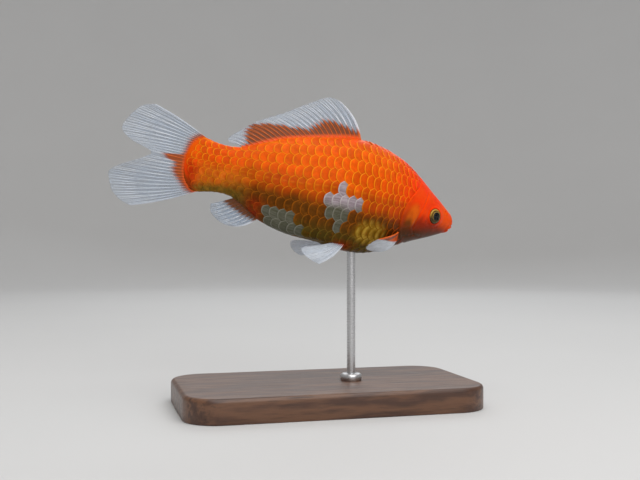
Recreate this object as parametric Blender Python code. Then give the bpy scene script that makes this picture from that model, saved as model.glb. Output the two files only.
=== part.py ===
"""A common goldfish, life size, held up by a plain display stand.

Blender 4.5. Metres, +Z up, nose towards +X, the fish's left side towards +Y.
The origin is the middle of the stand's underside.

The fish is drawn in body coordinates: s runs along the midline from the snout (0) to the
tail base (1), with the distance to the fish's left and the height in millimetres. place()
bends that straight body to the left, and the empty that carries the fish tips its nose down
and holds it over the stand. Angles round the body count from the back (0) over the left
side (90) to the belly (180).
"""

import math

import bmesh
import bpy
import numpy as np
from mathutils import Euler, Matrix, Vector

MM = 0.001
BODY_LENGTH = 125.0  # of the midline from s = 0 to s = 1
GAP = 0.3  # between neighbouring solids
HEAD_TURN = 16.0  # degrees that the head points left of the fish's chord
TAIL_TURN = -14.0  # degrees that the tail stem points right of it, so the body curves
BEND_FROM, BEND_TO = 0.30, 0.88  # the stretch of the body that bends
NOSE_DOWN = 11.5  # degrees
CENTRE_S = 0.45  # the point of the midline that sits at FISH_CENTRE
HEAD_DRAWN, HEAD_END = 0.007, 0.25  # how much s the snout is drawn back, and where that ends
FISH_CENTRE = (10.0, -3.0, 88.0)

# s, height of the back, height of the belly, half width, sharpness of the back and of the belly
STATIONS = (
    (0.000, 2.1, -4.4, 3.6, 1.00, 1.00),
    (0.030, 4.0, -5.9, 5.1, 0.98, 1.00),
    (0.070, 6.9, -8.1, 6.7, 0.95, 1.00),
    (0.130, 11.1, -11.1, 8.5, 0.95, 1.00),
    (0.200, 16.4, -14.6, 10.1, 1.02, 0.98),
    (0.280, 21.4, -19.3, 11.3, 1.12, 0.92),
    (0.360, 23.6, -22.9, 11.9, 1.18, 0.88),
    (0.440, 24.4, -23.6, 11.7, 1.18, 0.86),
    (0.540, 22.5, -22.5, 10.6, 1.16, 0.88),
    (0.640, 19.5, -21.9, 8.8, 1.14, 0.96),
    (0.700, 17.4, -20.3, 7.5, 1.12, 1.02),
    (0.770, 13.8, -16.6, 5.9, 1.10, 1.06),
    (0.830, 10.3, -11.9, 4.8, 1.06, 1.06),
    (0.880, 9.3, -10.7, 4.1, 1.04, 1.04),
    (0.930, 10.1, -11.5, 3.3, 1.00, 1.00),
    (0.975, 11.5, -12.6, 2.5, 1.00, 1.00),
    (1.020, 12.2, -13.2, 1.8, 1.00, 1.00),
)
SNOUT_ROUNDING = 0.030  # s over which the snout closes
TAIL_ROUNDING = (0.955, 1.015)  # s over which the tail base closes
WIDEST = 0.50  # height of the widest point, as a share of the section's height

# Angle round the body, s: the line along the nape and the rear edge of the gill covers
GILL_LINE = (
    (0, 0.200), (30, 0.204), (62, 0.226), (83, 0.264), (100, 0.284),
    (120, 0.281), (140, 0.256), (160, 0.216), (180, 0.196),
)
# Angle, s: the front edge of a gill cover, which runs from its top to its foot
GILL_FRONT = ((58, 0.190), (85, 0.176), (110, 0.160), (134, 0.150))
GILL_THICK = 1.6
STEM_SPLIT = 0.81  # where the trunk ends and the tail stem begins

EYE_S, EYE_ANGLE = 0.130, 93.0
EYE_RADIUS, EYE_DEPTH = 3.3, 2.2  # across, and along the eye's axis
EYE_SUNK = 0.8  # its middle lies this far under the skin

JAW_HINGE_S = 0.072
JAW_TOP = (-3.2, -5.6)  # height of the mouth line at the lips and at the hinge

BASE_SIZE = (124.0, 68.0, 10.0)
BASE_CORNER, BASE_BEVEL = 14.0, 1.2
ROD_S, ROD_RADIUS = 0.400, 1.8
ROD_SINK = 6.0  # how deep the rod stands in the base
COLLAR_RADIUS, COLLAR_HEIGHT = 4.5, 3.0

# Colour, roughness and metallic value of each finish
FINISHES = {
    "head": ((0.83, 0.10, 0.01), 0.35, 0.0),
    "gill_cover": ((0.78, 0.14, 0.01), 0.30, 0.0),
    "trunk": ((0.80, 0.18, 0.01), 0.35, 0.0),
    "tail_stem": ((0.72, 0.22, 0.02), 0.35, 0.0),
    "eye": ((0.30, 0.20, 0.05), 0.10, 0.0),
    "dorsal_fin": ((0.72, 0.45, 0.30), 0.40, 0.0),
    "fin": ((0.72, 0.78, 0.85), 0.40, 0.0),
    "wood": ((0.10, 0.05, 0.03), 0.50, 0.0),
    "steel": ((0.60, 0.60, 0.62), 0.30, 1.0),
}


def smooth_curve(points):
    """A natural cubic spline through (x, value) pairs, as a function."""
    x, y = (np.array(c, float) for c in zip(*points))
    n, step = len(x), np.diff(x)
    system, right = np.eye(n), np.zeros(n)
    for i in range(1, n - 1):
        system[i, i - 1 : i + 2] = step[i - 1], 2 * (step[i - 1] + step[i]), step[i]
        right[i] = 6 * ((y[i + 1] - y[i]) / step[i] - (y[i] - y[i - 1]) / step[i - 1])
    bend = np.linalg.solve(system, right)

    def value(at):
        at = np.asarray(at, float)
        i = np.clip(np.searchsorted(x, at) - 1, 0, n - 2)
        low, high, width = at - x[i], x[i + 1] - at, step[i]
        return (
            (bend[i] * high**3 + bend[i + 1] * low**3) / (6 * width)
            + (y[i] / width - bend[i] * width / 6) * high
            + (y[i + 1] / width - bend[i + 1] * width / 6) * low
        )

    return value


def station_curve(column):
    return smooth_curve([(row[0], row[column]) for row in STATIONS])


BACK, BELLY, HALF_WIDTH, BACK_SHARP, BELLY_SHARP = (station_curve(c) for c in range(1, 6))
GILL_EDGE = smooth_curve(GILL_LINE)
GILL_START = smooth_curve(GILL_FRONT)


def heading(s):
    """Which way the midline points, in radians to the left of the chord."""
    t = np.clip((s - BEND_FROM) / (BEND_TO - BEND_FROM), 0, 1)
    blend = t * t * (3 - 2 * t)
    return np.radians(HEAD_TURN + (TAIL_TURN - HEAD_TURN) * blend)


MIDLINE_S = np.linspace(-0.2, 1.5, 3401)
_STEP = BODY_LENGTH * (MIDLINE_S[1] - MIDLINE_S[0])
MIDLINE_X = -np.cumsum(np.cos(heading(MIDLINE_S))) * _STEP
MIDLINE_Y = -np.cumsum(np.sin(heading(MIDLINE_S))) * _STEP


def place(s, left, height):
    """Body coordinates to millimetres in the fish's frame, as an array with x, y, z last."""
    s, left, height = np.broadcast_arrays(*(np.asarray(v, float) for v in (s, left, height)))
    front = np.clip(1 - s / HEAD_END, 0, 1)
    s = s + HEAD_DRAWN * front**2 * (3 - 2 * front)
    turn = heading(s)
    start = [np.interp(CENTRE_S, MIDLINE_S, line) for line in (MIDLINE_X, MIDLINE_Y)]
    x = np.interp(s, MIDLINE_S, MIDLINE_X) - start[0] - left * np.sin(turn)
    y = np.interp(s, MIDLINE_S, MIDLINE_Y) - start[1] + left * np.cos(turn)
    return np.stack([x, y, height], axis=-1)


def closing(s):
    """The share of its full section that the body has at s, where the snout and tail base close."""
    snout = np.clip(s / SNOUT_ROUNDING, 0, 1)
    tail = np.clip((s - TAIL_ROUNDING[0]) / (TAIL_ROUNDING[1] - TAIL_ROUNDING[0]), 0, 1)
    return np.sqrt(1 - (1 - snout) ** 2) * np.sqrt(1 - tail**2)


def section(s, angle):
    """(left, height) of the body's surface at s, at this angle in degrees round it."""
    s, angle = np.broadcast_arrays(np.asarray(s, float), np.radians(np.asarray(angle, float)))
    back, belly = BACK(s), BELLY(s)
    middle = belly + WIDEST * (back - belly)
    across, upright = np.sin(angle), np.cos(angle)
    sharp = np.where(upright > 0, BACK_SHARP(s), BELLY_SHARP(s))
    power = 1 + (sharp - 1) * upright**2
    reach = np.where(upright > 0, back - middle, middle - belly)
    share = closing(s)
    left = share * HALF_WIDTH(s) * np.sign(across) * np.abs(across) ** power
    return left, middle + share * reach * upright


def surface(s, angle):
    """The body's surface as points in the fish's frame."""
    return place(s, *section(s, angle))


def surface_normal(s, angle):
    """The outward direction of the surface at one point."""
    along = surface(s + 1e-3, angle) - surface(s - 1e-3, angle)
    round_ = surface(s, angle + 0.5) - surface(s, angle - 0.5)
    out = np.cross(round_, along)
    return out / np.linalg.norm(out)


# Materials and objects


def material(name):
    """The finish of that name, made once."""
    made = bpy.data.materials.get(name)
    if made:
        return made
    colour, roughness, metallic = FINISHES[name]
    made = bpy.data.materials.new(name)
    made.use_nodes = True
    shader = made.node_tree.nodes["Principled BSDF"]
    shader.inputs["Base Color"].default_value = (*colour, 1)
    shader.inputs["Roughness"].default_value = roughness
    shader.inputs["Metallic"].default_value = metallic
    return made


def add_object(name, shape, finish, parent, smooth=True):
    """A mesh object from a bmesh in millimetres, which is used up."""
    bmesh.ops.recalc_face_normals(shape, faces=shape.faces)
    bmesh.ops.scale(shape, vec=(MM, MM, MM), verts=shape.verts)
    mesh = bpy.data.meshes.new(name)
    shape.to_mesh(mesh)
    shape.free()
    if smooth:
        mesh.shade_smooth()
        mesh.set_sharp_from_angle(angle=math.radians(40))
    if finish:
        mesh.materials.append(material(finish))
    made = bpy.data.objects.new(name, mesh)
    made.parent = parent
    bpy.context.scene.collection.objects.link(made)
    return made


def shape_of(points, faces):
    """A bmesh of these points and faces."""
    shape = bmesh.new()
    corners = [shape.verts.new(point) for point in points]
    for face in faces:
        shape.faces.new([corners[i] for i in face])
    return shape


def helper(made):
    """Marks an object that only cuts others."""
    made.hide_render = True
    made.display_type = "WIRE"
    return made


def cut(target, tool, operation="DIFFERENCE"):
    step = target.modifiers.new(f"{operation.lower()}_{tool.name}", "BOOLEAN")
    step.operation = operation
    step.solver = "EXACT"
    step.object = tool


# Body


def ring_faces(rings, segments):
    """Quads between rings of points, each ring closed."""
    for i in range(rings - 1):
        for j in range(segments):
            k = (j + 1) % segments
            yield i * segments + j, i * segments + k, (i + 1) * segments + k, (i + 1) * segments + j


def body_piece(name, front, rear, rings, segments, finish, fish, spacing=lambda t: t):
    """The body between two lines round it. front and rear give s for an angle from back to belly."""
    angles = np.arange(segments) * 360.0 / segments
    from_back = np.minimum(angles, 360 - angles)
    steps = spacing(np.linspace(0, 1, rings))[:, None]
    s = front(from_back) + (rear(from_back) - front(from_back)) * steps
    points = surface(s, angles[None, :]).reshape(-1, 3)
    faces = list(ring_faces(rings, segments))
    ends = []
    for ring, line in ((0, front), (rings - 1, rear)):
        s_mid = float(line(np.array(90.0)))  # the end is a shallow funnel to here
        ends.append(place(s_mid, 0, (BACK(s_mid) + BELLY(s_mid)) / 2))
        corner = len(points) + len(ends) - 1
        first = ring * segments
        faces += [(first + j, first + (j + 1) % segments, corner) for j in range(segments)]
    return add_object(name, shape_of(np.vstack([points, ends]), faces), finish, fish)


def level(s):
    """A line round the body that is a plain cut across it."""
    return lambda angle: np.full(np.shape(angle), float(s))


def gill_line(shift=0.0):
    return lambda angle: GILL_EDGE(angle) + shift / BODY_LENGTH


def plate_on_body(name, side, grow, inner, outer, finish, fish):
    """A plate on one cheek, from the gill cover's front line to the gill opening.

    grow widens it all round, and inner and outer are its depths under and over the skin.
    """
    columns, rows = 8, 10
    top, foot = GILL_FRONT[0][0], GILL_FRONT[-1][0]
    margin = 2.4 * grow  # degrees round the body for each millimetre
    angles = np.linspace(top - margin, foot + margin, rows)[:, None]
    shift = grow / BODY_LENGTH
    start, stop = GILL_START(angles) - shift, GILL_EDGE(angles) - 0.003 + 3 * shift
    s = start + (stop - start) * np.linspace(0, 1, columns)[None, :]
    left, height = section(s, angles)
    middle = BELLY(s) + WIDEST * (BACK(s) - BELLY(s))
    reach = np.hypot(left, height - middle)
    sheets = []
    for depth in (outer, -inner):
        scale = 1 + depth / reach
        shell = place(s, side * left * scale, middle + (height - middle) * scale)
        sheets.append(shell.reshape(-1, 3))
    plate = shape_of(np.vstack(sheets), slab_faces(rows, columns))
    return add_object(name, plate, finish, fish)


def slab_faces(rows, columns):
    """Faces of a closed slab whose points are two grids of rows by columns, one after the other."""
    count = rows * columns
    faces = []
    for i in range(rows - 1):
        for j in range(columns - 1):
            a = i * columns + j
            quad = (a, a + 1, a + columns + 1, a + columns)
            faces += [quad, tuple(count + v for v in reversed(quad))]
    bottom, top = range(columns), range(count - columns, count)
    near = range(0, count, columns)
    far = range(columns - 1, count, columns)
    for line, turned in ((bottom, True), (top, False), (near, False), (far, True)):
        for a, b in zip(line, line[1:]):
            quad = (a, b, count + b, count + a)
            faces.append(tuple(reversed(quad)) if turned else quad)
    return faces


def box_points(s_range, left, heights):
    """Corners of a block in body coordinates. heights gives (low, high) at each end of s_range."""
    return [
        place(s, side * left, h)
        for s, pair in zip(s_range, heights)
        for side in (-1, 1)
        for h in pair
    ]


BLOCK_FACES = ((0, 1, 3, 2), (4, 6, 7, 5), (0, 4, 5, 1), (2, 3, 7, 6), (0, 2, 6, 4), (1, 5, 7, 3))


def jaw_block(name, grow, fish):
    """The space of the lower jaw: under the mouth line and ahead of its hinge."""
    reach, depth = 12.0, 30.0
    ends = (-0.03, JAW_HINGE_S + grow / BODY_LENGTH)
    slope = (JAW_TOP[1] - JAW_TOP[0]) / JAW_HINGE_S
    tops = [JAW_TOP[0] + slope * s + grow for s in ends]
    heights = [(top - depth, top) for top in tops]
    block = shape_of(box_points(ends, reach, heights), BLOCK_FACES)
    return helper(add_object(name, block, None, fish, smooth=False))


def eyeball(name, side, grow, finish, fish):
    """An eye, flattened along its own axis, which stands square to the skin there."""
    skin_point = surface(EYE_S, side * EYE_ANGLE)
    axis = surface_normal(EYE_S, side * EYE_ANGLE)
    shape = bmesh.new()
    bmesh.ops.create_uvsphere(shape, u_segments=18, v_segments=10, radius=1)
    size = (EYE_RADIUS + grow, EYE_RADIUS + grow, EYE_DEPTH + grow)
    bmesh.ops.scale(shape, vec=size, verts=shape.verts)
    made = add_object(name, shape, finish, fish)
    made.location = Vector(skin_point - EYE_SUNK * axis) * MM
    made.rotation_euler = Vector(axis).to_track_quat("Z", "Y").to_euler()
    return made


def build_body(fish):
    segments = 36
    half = 0.5 * GAP / BODY_LENGTH
    to_gills = (level(0.0002), gill_line(), 17, segments, "head", fish, lambda t: t**1.7)
    head = body_piece("head", *to_gills)
    jaw = body_piece("lower_jaw", *to_gills)
    cut(head, jaw_block("jaw_cut", GAP, fish))
    cut(jaw, jaw_block("jaw_space", 0.0, fish), "INTERSECT")
    for side, word in ((1, "left"), (-1, "right")):
        eyeball(f"eye_{word}", side, 0.0, "eye", fish)
        cut(head, helper(eyeball(f"socket_{word}", side, GAP, None, fish)))
        plate_on_body(f"gill_cover_{word}", side, 0.0, GILL_THICK, 0.0, "gill_cover", fish)
        recess = (side, GAP, GILL_THICK + GAP, 2.0, None, fish)
        cut(head, helper(plate_on_body(f"gill_recess_{word}", *recess)))
    body_piece("trunk", gill_line(2 * GAP), level(STEM_SPLIT - half), 20, segments, "trunk", fish)
    stem = (level(STEM_SPLIT + half), level(TAIL_ROUNDING[1] - 0.0004))
    body_piece(
        "tail_stem", *stem, 11, segments, "tail_stem", fish, lambda t: 1 - (1 - t) ** 1.8
    )


# Fins: each is a fan of rays from a base line to an outline, given in body coordinates


def back_line(lift):
    return lambda s: (s, 0.0, float(BACK(s)) + lift)


def belly_line(drop):
    return lambda s: (s, 0.0, float(BELLY(s)) - drop)


def outline(points):
    """A smooth line through (share of the base, s, left, height)."""
    curves = [smooth_curve([(p[0], p[k]) for p in points]) for k in (1, 2, 3)]
    return lambda share: tuple(float(curve(share)) for curve in curves)


def fin_plate(name, base, tip, sag, thick, count, finish, fish):
    """A thin closed fin. base and tip give body coordinates for a share of its base.

    sag is how far a ray's middle bows, as (s, left, height) at the front ray and at the last.
    thick is the thickness at the root and at the edge, and count that of rays and steps.
    """
    rays, steps = count
    grid = np.zeros((rays, steps, 3))
    for i, share in enumerate(np.linspace(0, 1, rays)):
        root, end = np.array(base(share)), np.array(tip(share))
        bow = np.array(sag[0]) * (1 - share) + np.array(sag[1]) * share
        out = np.linspace(0, 1, steps)[:, None]
        grid[i] = root + (end - root) * out + 4 * bow * out * (1 - out)
    middle = place(grid[..., 0], grid[..., 1], grid[..., 2])
    along = np.gradient(middle, axis=0)
    outward = np.gradient(middle, axis=1)
    normal = np.cross(along, outward)
    normal /= np.linalg.norm(normal, axis=-1, keepdims=True)
    half = 0.5 * (thick[0] + (thick[1] - thick[0]) * np.linspace(0, 1, steps) ** 0.6)
    offset = normal * half[None, :, None]
    sheets = [(middle + offset).reshape(-1, 3), (middle - offset).reshape(-1, 3)]
    plate = shape_of(np.vstack(sheets), slab_faces(rays, steps))
    return add_object(name, plate, finish, fish)


def between(first, last, point_of):
    """A base line that runs from s = first to s = last along point_of."""
    return lambda share: point_of(first + (last - first) * share)


def tail_base(upper):
    """The line round the tail base that a caudal lobe grows from, outer end first."""
    sign, edge = (1, BACK) if upper else (-1, BELLY)
    start, end = TAIL_ROUNDING
    first = 0.2  # radians past the outer corner, where the first ray starts
    last = math.pi / 2 - 0.03

    def point(share):
        turn = first + (last - first) * share
        s = start + (end - start) * math.sin(turn)
        middle = float(BELLY(s) + WIDEST * (BACK(s) - BELLY(s)))
        height = middle + (float(edge(s)) - middle) * math.cos(turn)
        lift = 0.7 + 0.5 * (1 - share)
        return (
            s + lift * math.sin(turn) / BODY_LENGTH,
            0.0,
            height + sign * lift * math.cos(turn),
        )

    return point


DORSAL_TIPS = (
    (0.00, 0.548, 0.4, 37.5), (0.06, 0.585, 0.8, 38.2), (0.13, 0.620, 1.2, 36.2),
    (0.24, 0.663, 1.4, 32.8), (0.42, 0.730, 1.3, 27.4), (0.60, 0.789, 1.0, 23.1),
    (0.74, 0.832, 0.8, 19.4), (0.87, 0.872, 0.5, 15.0), (0.95, 0.890, 0.3, 12.2),
    (1.00, 0.886, 0.2, 10.4),
)
UPPER_LOBE_TIPS = (
    (0.00, 1.150, 1.0, 20.6), (0.16, 1.196, 1.8, 18.8), (0.34, 1.228, 2.4, 14.0),
    (0.50, 1.246, 2.6, 9.2), (0.66, 1.222, 2.0, 5.2), (0.84, 1.172, 1.0, 3.0),
    (1.00, 1.130, 0.4, 1.0),
)
LOWER_LOBE_TIPS = (
    (0.00, 1.165, 2.2, -22.6), (0.16, 1.210, 2.6, -20.8), (0.34, 1.246, 2.8, -16.0),
    (0.50, 1.260, 2.6, -11.0), (0.66, 1.230, 2.0, -7.0), (0.84, 1.176, 1.0, -3.6),
    (1.00, 1.130, 0.4, -0.2),
)
ANAL_TIPS = (
    (0.00, 0.812, 0.4, -23.0), (0.25, 0.846, 1.2, -22.8), (0.50, 0.878, 1.6, -21.3),
    (0.75, 0.900, 1.2, -18.9), (1.00, 0.905, 0.6, -15.6),
)
# For the left side of the fish. A paired fin's root runs between two points on the skin,
# given as s and angle; the tips are in body coordinates
PELVIC_ROOT = ((0.450, 159.0), (0.482, 165.0))
PELVIC_TIPS = (
    (0.00, 0.548, 12.0, -30.4), (0.35, 0.586, 13.0, -28.6), (0.70, 0.604, 10.5, -25.6),
    (1.00, 0.585, 6.5, -24.2),
)
PECTORAL_ROOT = ((0.272, 130.0), (0.260, 149.0))
PAIRED_FIN_LIFT = 0.9  # of a paired fin's root line over the skin
PECTORAL_TIPS = (
    (0.00, 0.405, 20.4, -17.2), (0.35, 0.432, 18.5, -20.3), (0.70, 0.418, 16.1, -22.0),
    (1.00, 0.384, 13.5, -22.0),
)


def paired(points, side, drop):
    """The same outline on one side, its tips drop millimetres lower."""
    return outline([(p[0], p[1], side * p[2], p[3] - drop) for p in points])


def root_line(ends, side):
    """The line between two points on the skin, lifted clear of it."""
    (first_s, first_angle), (last_s, last_angle) = ends

    def point(share):
        s = first_s + (last_s - first_s) * share
        left, height = section(s, first_angle + (last_angle - first_angle) * share)
        middle = BELLY(s) + WIDEST * (BACK(s) - BELLY(s))
        scale = 1 + PAIRED_FIN_LIFT / math.hypot(left, height - middle)
        return s, side * float(left) * scale, float(middle + (height - middle) * scale)

    return point


def build_fins(fish):
    fin_plate(
        "dorsal_fin", between(0.446, 0.832, back_line(GAP + 0.1)), outline(DORSAL_TIPS),
        ((-0.014, 0, 1.4), (0.0, 0, 0.7)), (1.5, 0.5), (21, 7), "dorsal_fin", fish,
    )
    fin_plate(
        "anal_fin", between(0.742, 0.826, belly_line(GAP + 0.2)), outline(ANAL_TIPS),
        ((-0.006, 0, -0.8), (0.0, 0, -0.2)), (1.4, 0.5), (12, 7), "fin", fish,
    )
    for name, upper, tips, sag in (
        ("caudal_fin_upper", True, UPPER_LOBE_TIPS, 0.9),
        ("caudal_fin_lower", False, LOWER_LOBE_TIPS, -0.9),
    ):
        fin_plate(
            name, tail_base(upper), outline(tips),
            ((0, 0.3, sag), (0, 0.3, 0)), (1.3, 0.5), (17, 9), "fin", fish,
        )
    for side, word, drop in ((1, "left", -1.6), (-1, "right", 1.2)):
        fin_plate(
            f"pelvic_fin_{word}", root_line(PELVIC_ROOT, side), paired(PELVIC_TIPS, side, drop),
            ((-0.004, side * 0.6, -0.8), (0, 0, -0.3)), (1.1, 0.5), (11, 7), "fin", fish,
        )
        fin_plate(
            f"pectoral_fin_{word}", root_line(PECTORAL_ROOT, side), paired(PECTORAL_TIPS, side, 0),
            ((-0.004, side * 2.0, 0.4), (-0.012, side * 0.9, -1.2)), (1.0, 0.5), (11, 7), "fin", fish,
        )


# Stand


def upright(name, radius, low, high, segments, finish, at):
    """An upright cylinder between two heights, on the rod's axis."""
    shape = bmesh.new()
    bmesh.ops.create_cone(
        shape, cap_ends=True, segments=segments, radius1=radius, radius2=radius, depth=high - low
    )
    made = add_object(name, shape, finish, None)
    made.location = Vector((at.x, at.y, (low + high) / 2)) * MM
    return made


def build_base():
    """A plate with round corners and a bevelled top edge."""
    width, depth, height = BASE_SIZE
    shape = bmesh.new()
    bmesh.ops.create_cube(shape, size=1)
    bmesh.ops.scale(shape, vec=BASE_SIZE, verts=shape.verts)
    corners = [e for e in shape.edges if abs(e.verts[0].co.z - e.verts[1].co.z) > height / 2]
    bmesh.ops.bevel(
        shape, geom=corners, offset=BASE_CORNER, segments=8, profile=0.5, affect="EDGES"
    )
    rim = [e for e in shape.edges if all(v.co.z > height / 2 - 0.01 for v in e.verts)]
    bmesh.ops.bevel(shape, geom=rim, offset=BASE_BEVEL, segments=2, profile=0.5, affect="EDGES")
    base = add_object("stand_base", shape, "wood", None)
    base.location.z = height / 2 * MM
    return base


def build_stand(fish_matrix):
    height = BASE_SIZE[2]
    foot = fish_matrix @ Vector(surface(ROD_S, 180.0))
    base = build_base()
    hole = (ROD_RADIUS + GAP, height - ROD_SINK - GAP, height + 5, 24, None, foot)
    cut(base, helper(upright("rod_hole", *hole)))
    slope = math.tan(math.radians(NOSE_DOWN)) * ROD_RADIUS  # the belly tips down towards the nose
    rod = (ROD_RADIUS, height - ROD_SINK, foot.z - slope - GAP, 24, "steel", foot)
    upright("stand_rod", *rod)
    ring = (COLLAR_RADIUS, height + 0.1 * GAP, height + COLLAR_HEIGHT, 32, "steel", foot)
    collar = upright("stand_collar", *ring)
    bore = (ROD_RADIUS + GAP, height - 1, height + COLLAR_HEIGHT + 1, 24, None, foot)
    cut(collar, helper(upright("collar_bore", *bore)))


def main():
    for old in list(bpy.data.objects):
        bpy.data.objects.remove(old)
    fish = bpy.data.objects.new("fish", None)
    fish.location = Vector(FISH_CENTRE) * MM
    fish.rotation_euler = Euler((0.0, math.radians(NOSE_DOWN), 0.0))
    bpy.context.scene.collection.objects.link(fish)
    build_body(fish)
    build_fins(fish)
    build_stand(Matrix.LocRotScale(Vector(FISH_CENTRE), fish.rotation_euler, None))


main()
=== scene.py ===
"""The looks of the goldfish on its display stand.

The fish is drawn in body coordinates, as in the CAD model: s runs along the midline from the
snout (0) to the tail base (1), with the distance to the fish's left and the height in
millimetres. Angles round the body count from the back (0) over the left side (90) to the
belly (180), and are negative on the right side. place() bends the straight body, and
to_world() tips its nose down and sets it on the stand's rod.
"""

import math

import bmesh
import bpy
import numpy as np
from mathutils import Euler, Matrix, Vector

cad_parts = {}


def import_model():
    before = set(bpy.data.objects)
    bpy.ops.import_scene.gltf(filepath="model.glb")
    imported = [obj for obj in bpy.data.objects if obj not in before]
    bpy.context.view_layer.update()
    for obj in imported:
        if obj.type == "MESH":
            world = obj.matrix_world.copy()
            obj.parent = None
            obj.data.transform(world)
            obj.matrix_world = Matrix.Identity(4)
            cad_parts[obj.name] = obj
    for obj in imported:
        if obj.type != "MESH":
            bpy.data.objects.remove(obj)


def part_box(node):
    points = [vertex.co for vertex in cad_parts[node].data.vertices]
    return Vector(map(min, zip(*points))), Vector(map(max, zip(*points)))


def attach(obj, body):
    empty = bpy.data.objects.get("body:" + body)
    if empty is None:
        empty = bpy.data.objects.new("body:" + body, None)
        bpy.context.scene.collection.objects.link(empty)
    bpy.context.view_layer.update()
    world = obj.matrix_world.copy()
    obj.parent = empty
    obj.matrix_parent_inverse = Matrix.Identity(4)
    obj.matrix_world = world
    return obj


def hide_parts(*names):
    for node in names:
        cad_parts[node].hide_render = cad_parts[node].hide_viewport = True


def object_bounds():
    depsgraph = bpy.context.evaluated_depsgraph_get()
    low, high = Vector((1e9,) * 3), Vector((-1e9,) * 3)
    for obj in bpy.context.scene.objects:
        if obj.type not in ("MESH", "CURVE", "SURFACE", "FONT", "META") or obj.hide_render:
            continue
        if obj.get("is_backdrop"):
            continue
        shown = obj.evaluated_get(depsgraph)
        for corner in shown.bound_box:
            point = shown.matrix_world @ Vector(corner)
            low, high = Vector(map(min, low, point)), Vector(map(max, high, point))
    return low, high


MM = 0.001
BODY_LENGTH = 125.0  # of the midline from s = 0 to s = 1
GAP = 0.3  # between the CAD solids
HEAD_TURN = 16.0  # degrees that the head points left of the fish's chord
TAIL_TURN = -14.0  # degrees that the tail stem points right of it
BEND_FROM, BEND_TO = 0.30, 0.88
NOSE_DOWN = 11.5  # degrees
CENTRE_S = 0.45  # the point of the midline that the fish's own frame starts from
HEAD_DRAWN, HEAD_END = 0.007, 0.25  # how much s the snout is drawn back, and where that ends

# s, height of the back, height of the belly, half width, sharpness of the back and of the belly
STATIONS = (
    (0.000, 2.1, -4.4, 3.6, 1.00, 1.00),
    (0.030, 4.0, -5.9, 5.1, 0.98, 1.00),
    (0.070, 6.9, -8.1, 6.7, 0.95, 1.00),
    (0.130, 11.1, -11.1, 8.5, 0.95, 1.00),
    (0.200, 16.4, -14.6, 10.1, 1.02, 0.98),
    (0.280, 21.4, -19.3, 11.3, 1.12, 0.92),
    (0.360, 23.6, -22.9, 11.9, 1.18, 0.88),
    (0.440, 24.4, -23.6, 11.7, 1.18, 0.86),
    (0.540, 22.5, -22.5, 10.6, 1.16, 0.88),
    (0.640, 19.5, -21.9, 8.8, 1.14, 0.96),
    (0.700, 17.4, -20.3, 7.5, 1.12, 1.02),
    (0.770, 13.8, -16.6, 5.9, 1.10, 1.06),
    (0.830, 10.3, -11.9, 4.8, 1.06, 1.06),
    (0.880, 9.3, -10.7, 4.1, 1.04, 1.04),
    (0.930, 10.1, -11.5, 3.3, 1.00, 1.00),
    (0.975, 11.5, -12.6, 2.5, 1.00, 1.00),
    (1.020, 12.2, -13.2, 1.8, 1.00, 1.00),
)
SNOUT_ROUNDING = 0.030  # s over which the snout closes
TAIL_ROUNDING = (0.955, 1.015)  # s over which the tail base closes
WIDEST = 0.50  # height of the widest point, as a share of the section's height

# Angle round the body, s: the line along the nape and the rear edge of the gill covers
GILL_LINE = (
    (0, 0.200), (30, 0.204), (62, 0.226), (83, 0.264), (100, 0.284),
    (120, 0.281), (140, 0.256), (160, 0.216), (180, 0.196),
)

EYE_S, EYE_ANGLE, EYE_RADIUS = 0.130, 93.0, 3.3
ROD_S, ROD_RADIUS = 0.400, 1.8

HEAD_DEPTH = 0.10  # of the bare skin under the CAD surface
COAT_DEPTH = 0.46  # of the skin that carries scales
SCALE_THICKNESS = 0.12

DORSAL_TIPS = (
    (0.00, 0.548, 0.4, 37.5), (0.06, 0.585, 0.8, 38.2), (0.13, 0.620, 1.2, 36.2),
    (0.24, 0.663, 1.4, 32.8), (0.42, 0.730, 1.3, 27.4), (0.60, 0.789, 1.0, 23.1),
    (0.74, 0.832, 0.8, 19.4), (0.87, 0.872, 0.5, 15.0), (0.95, 0.890, 0.3, 12.2),
    (1.00, 0.886, 0.2, 10.4),
)
UPPER_LOBE_TIPS = (
    (0.00, 1.150, 1.0, 20.6), (0.16, 1.196, 1.8, 18.8), (0.34, 1.228, 2.4, 14.0),
    (0.50, 1.246, 2.6, 9.2), (0.66, 1.222, 2.0, 5.2), (0.84, 1.172, 1.0, 3.0),
    (1.00, 1.130, 0.4, 1.0),
)
LOWER_LOBE_TIPS = (
    (0.00, 1.165, 2.2, -22.6), (0.16, 1.210, 2.6, -20.8), (0.34, 1.246, 2.8, -16.0),
    (0.50, 1.260, 2.6, -11.0), (0.66, 1.230, 2.0, -7.0), (0.84, 1.176, 1.0, -3.6),
    (1.00, 1.130, 0.4, -0.2),
)
ANAL_TIPS = (
    (0.00, 0.812, 0.4, -23.0), (0.25, 0.846, 1.2, -22.8), (0.50, 0.878, 1.6, -21.3),
    (0.75, 0.900, 1.2, -18.9), (1.00, 0.905, 0.6, -15.6),
)
PELVIC_ROOT = ((0.450, 159.0), (0.482, 165.0))
PELVIC_TIPS = (
    (0.00, 0.548, 12.0, -30.4), (0.35, 0.586, 13.0, -28.6), (0.70, 0.604, 10.5, -25.6),
    (1.00, 0.585, 6.5, -24.2),
)
PECTORAL_ROOT = ((0.272, 130.0), (0.260, 149.0))
PECTORAL_TIPS = (
    (0.00, 0.405, 20.4, -17.2), (0.35, 0.432, 18.5, -20.3), (0.70, 0.418, 16.1, -22.0),
    (1.00, 0.384, 13.5, -22.0),
)


# Curves


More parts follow.
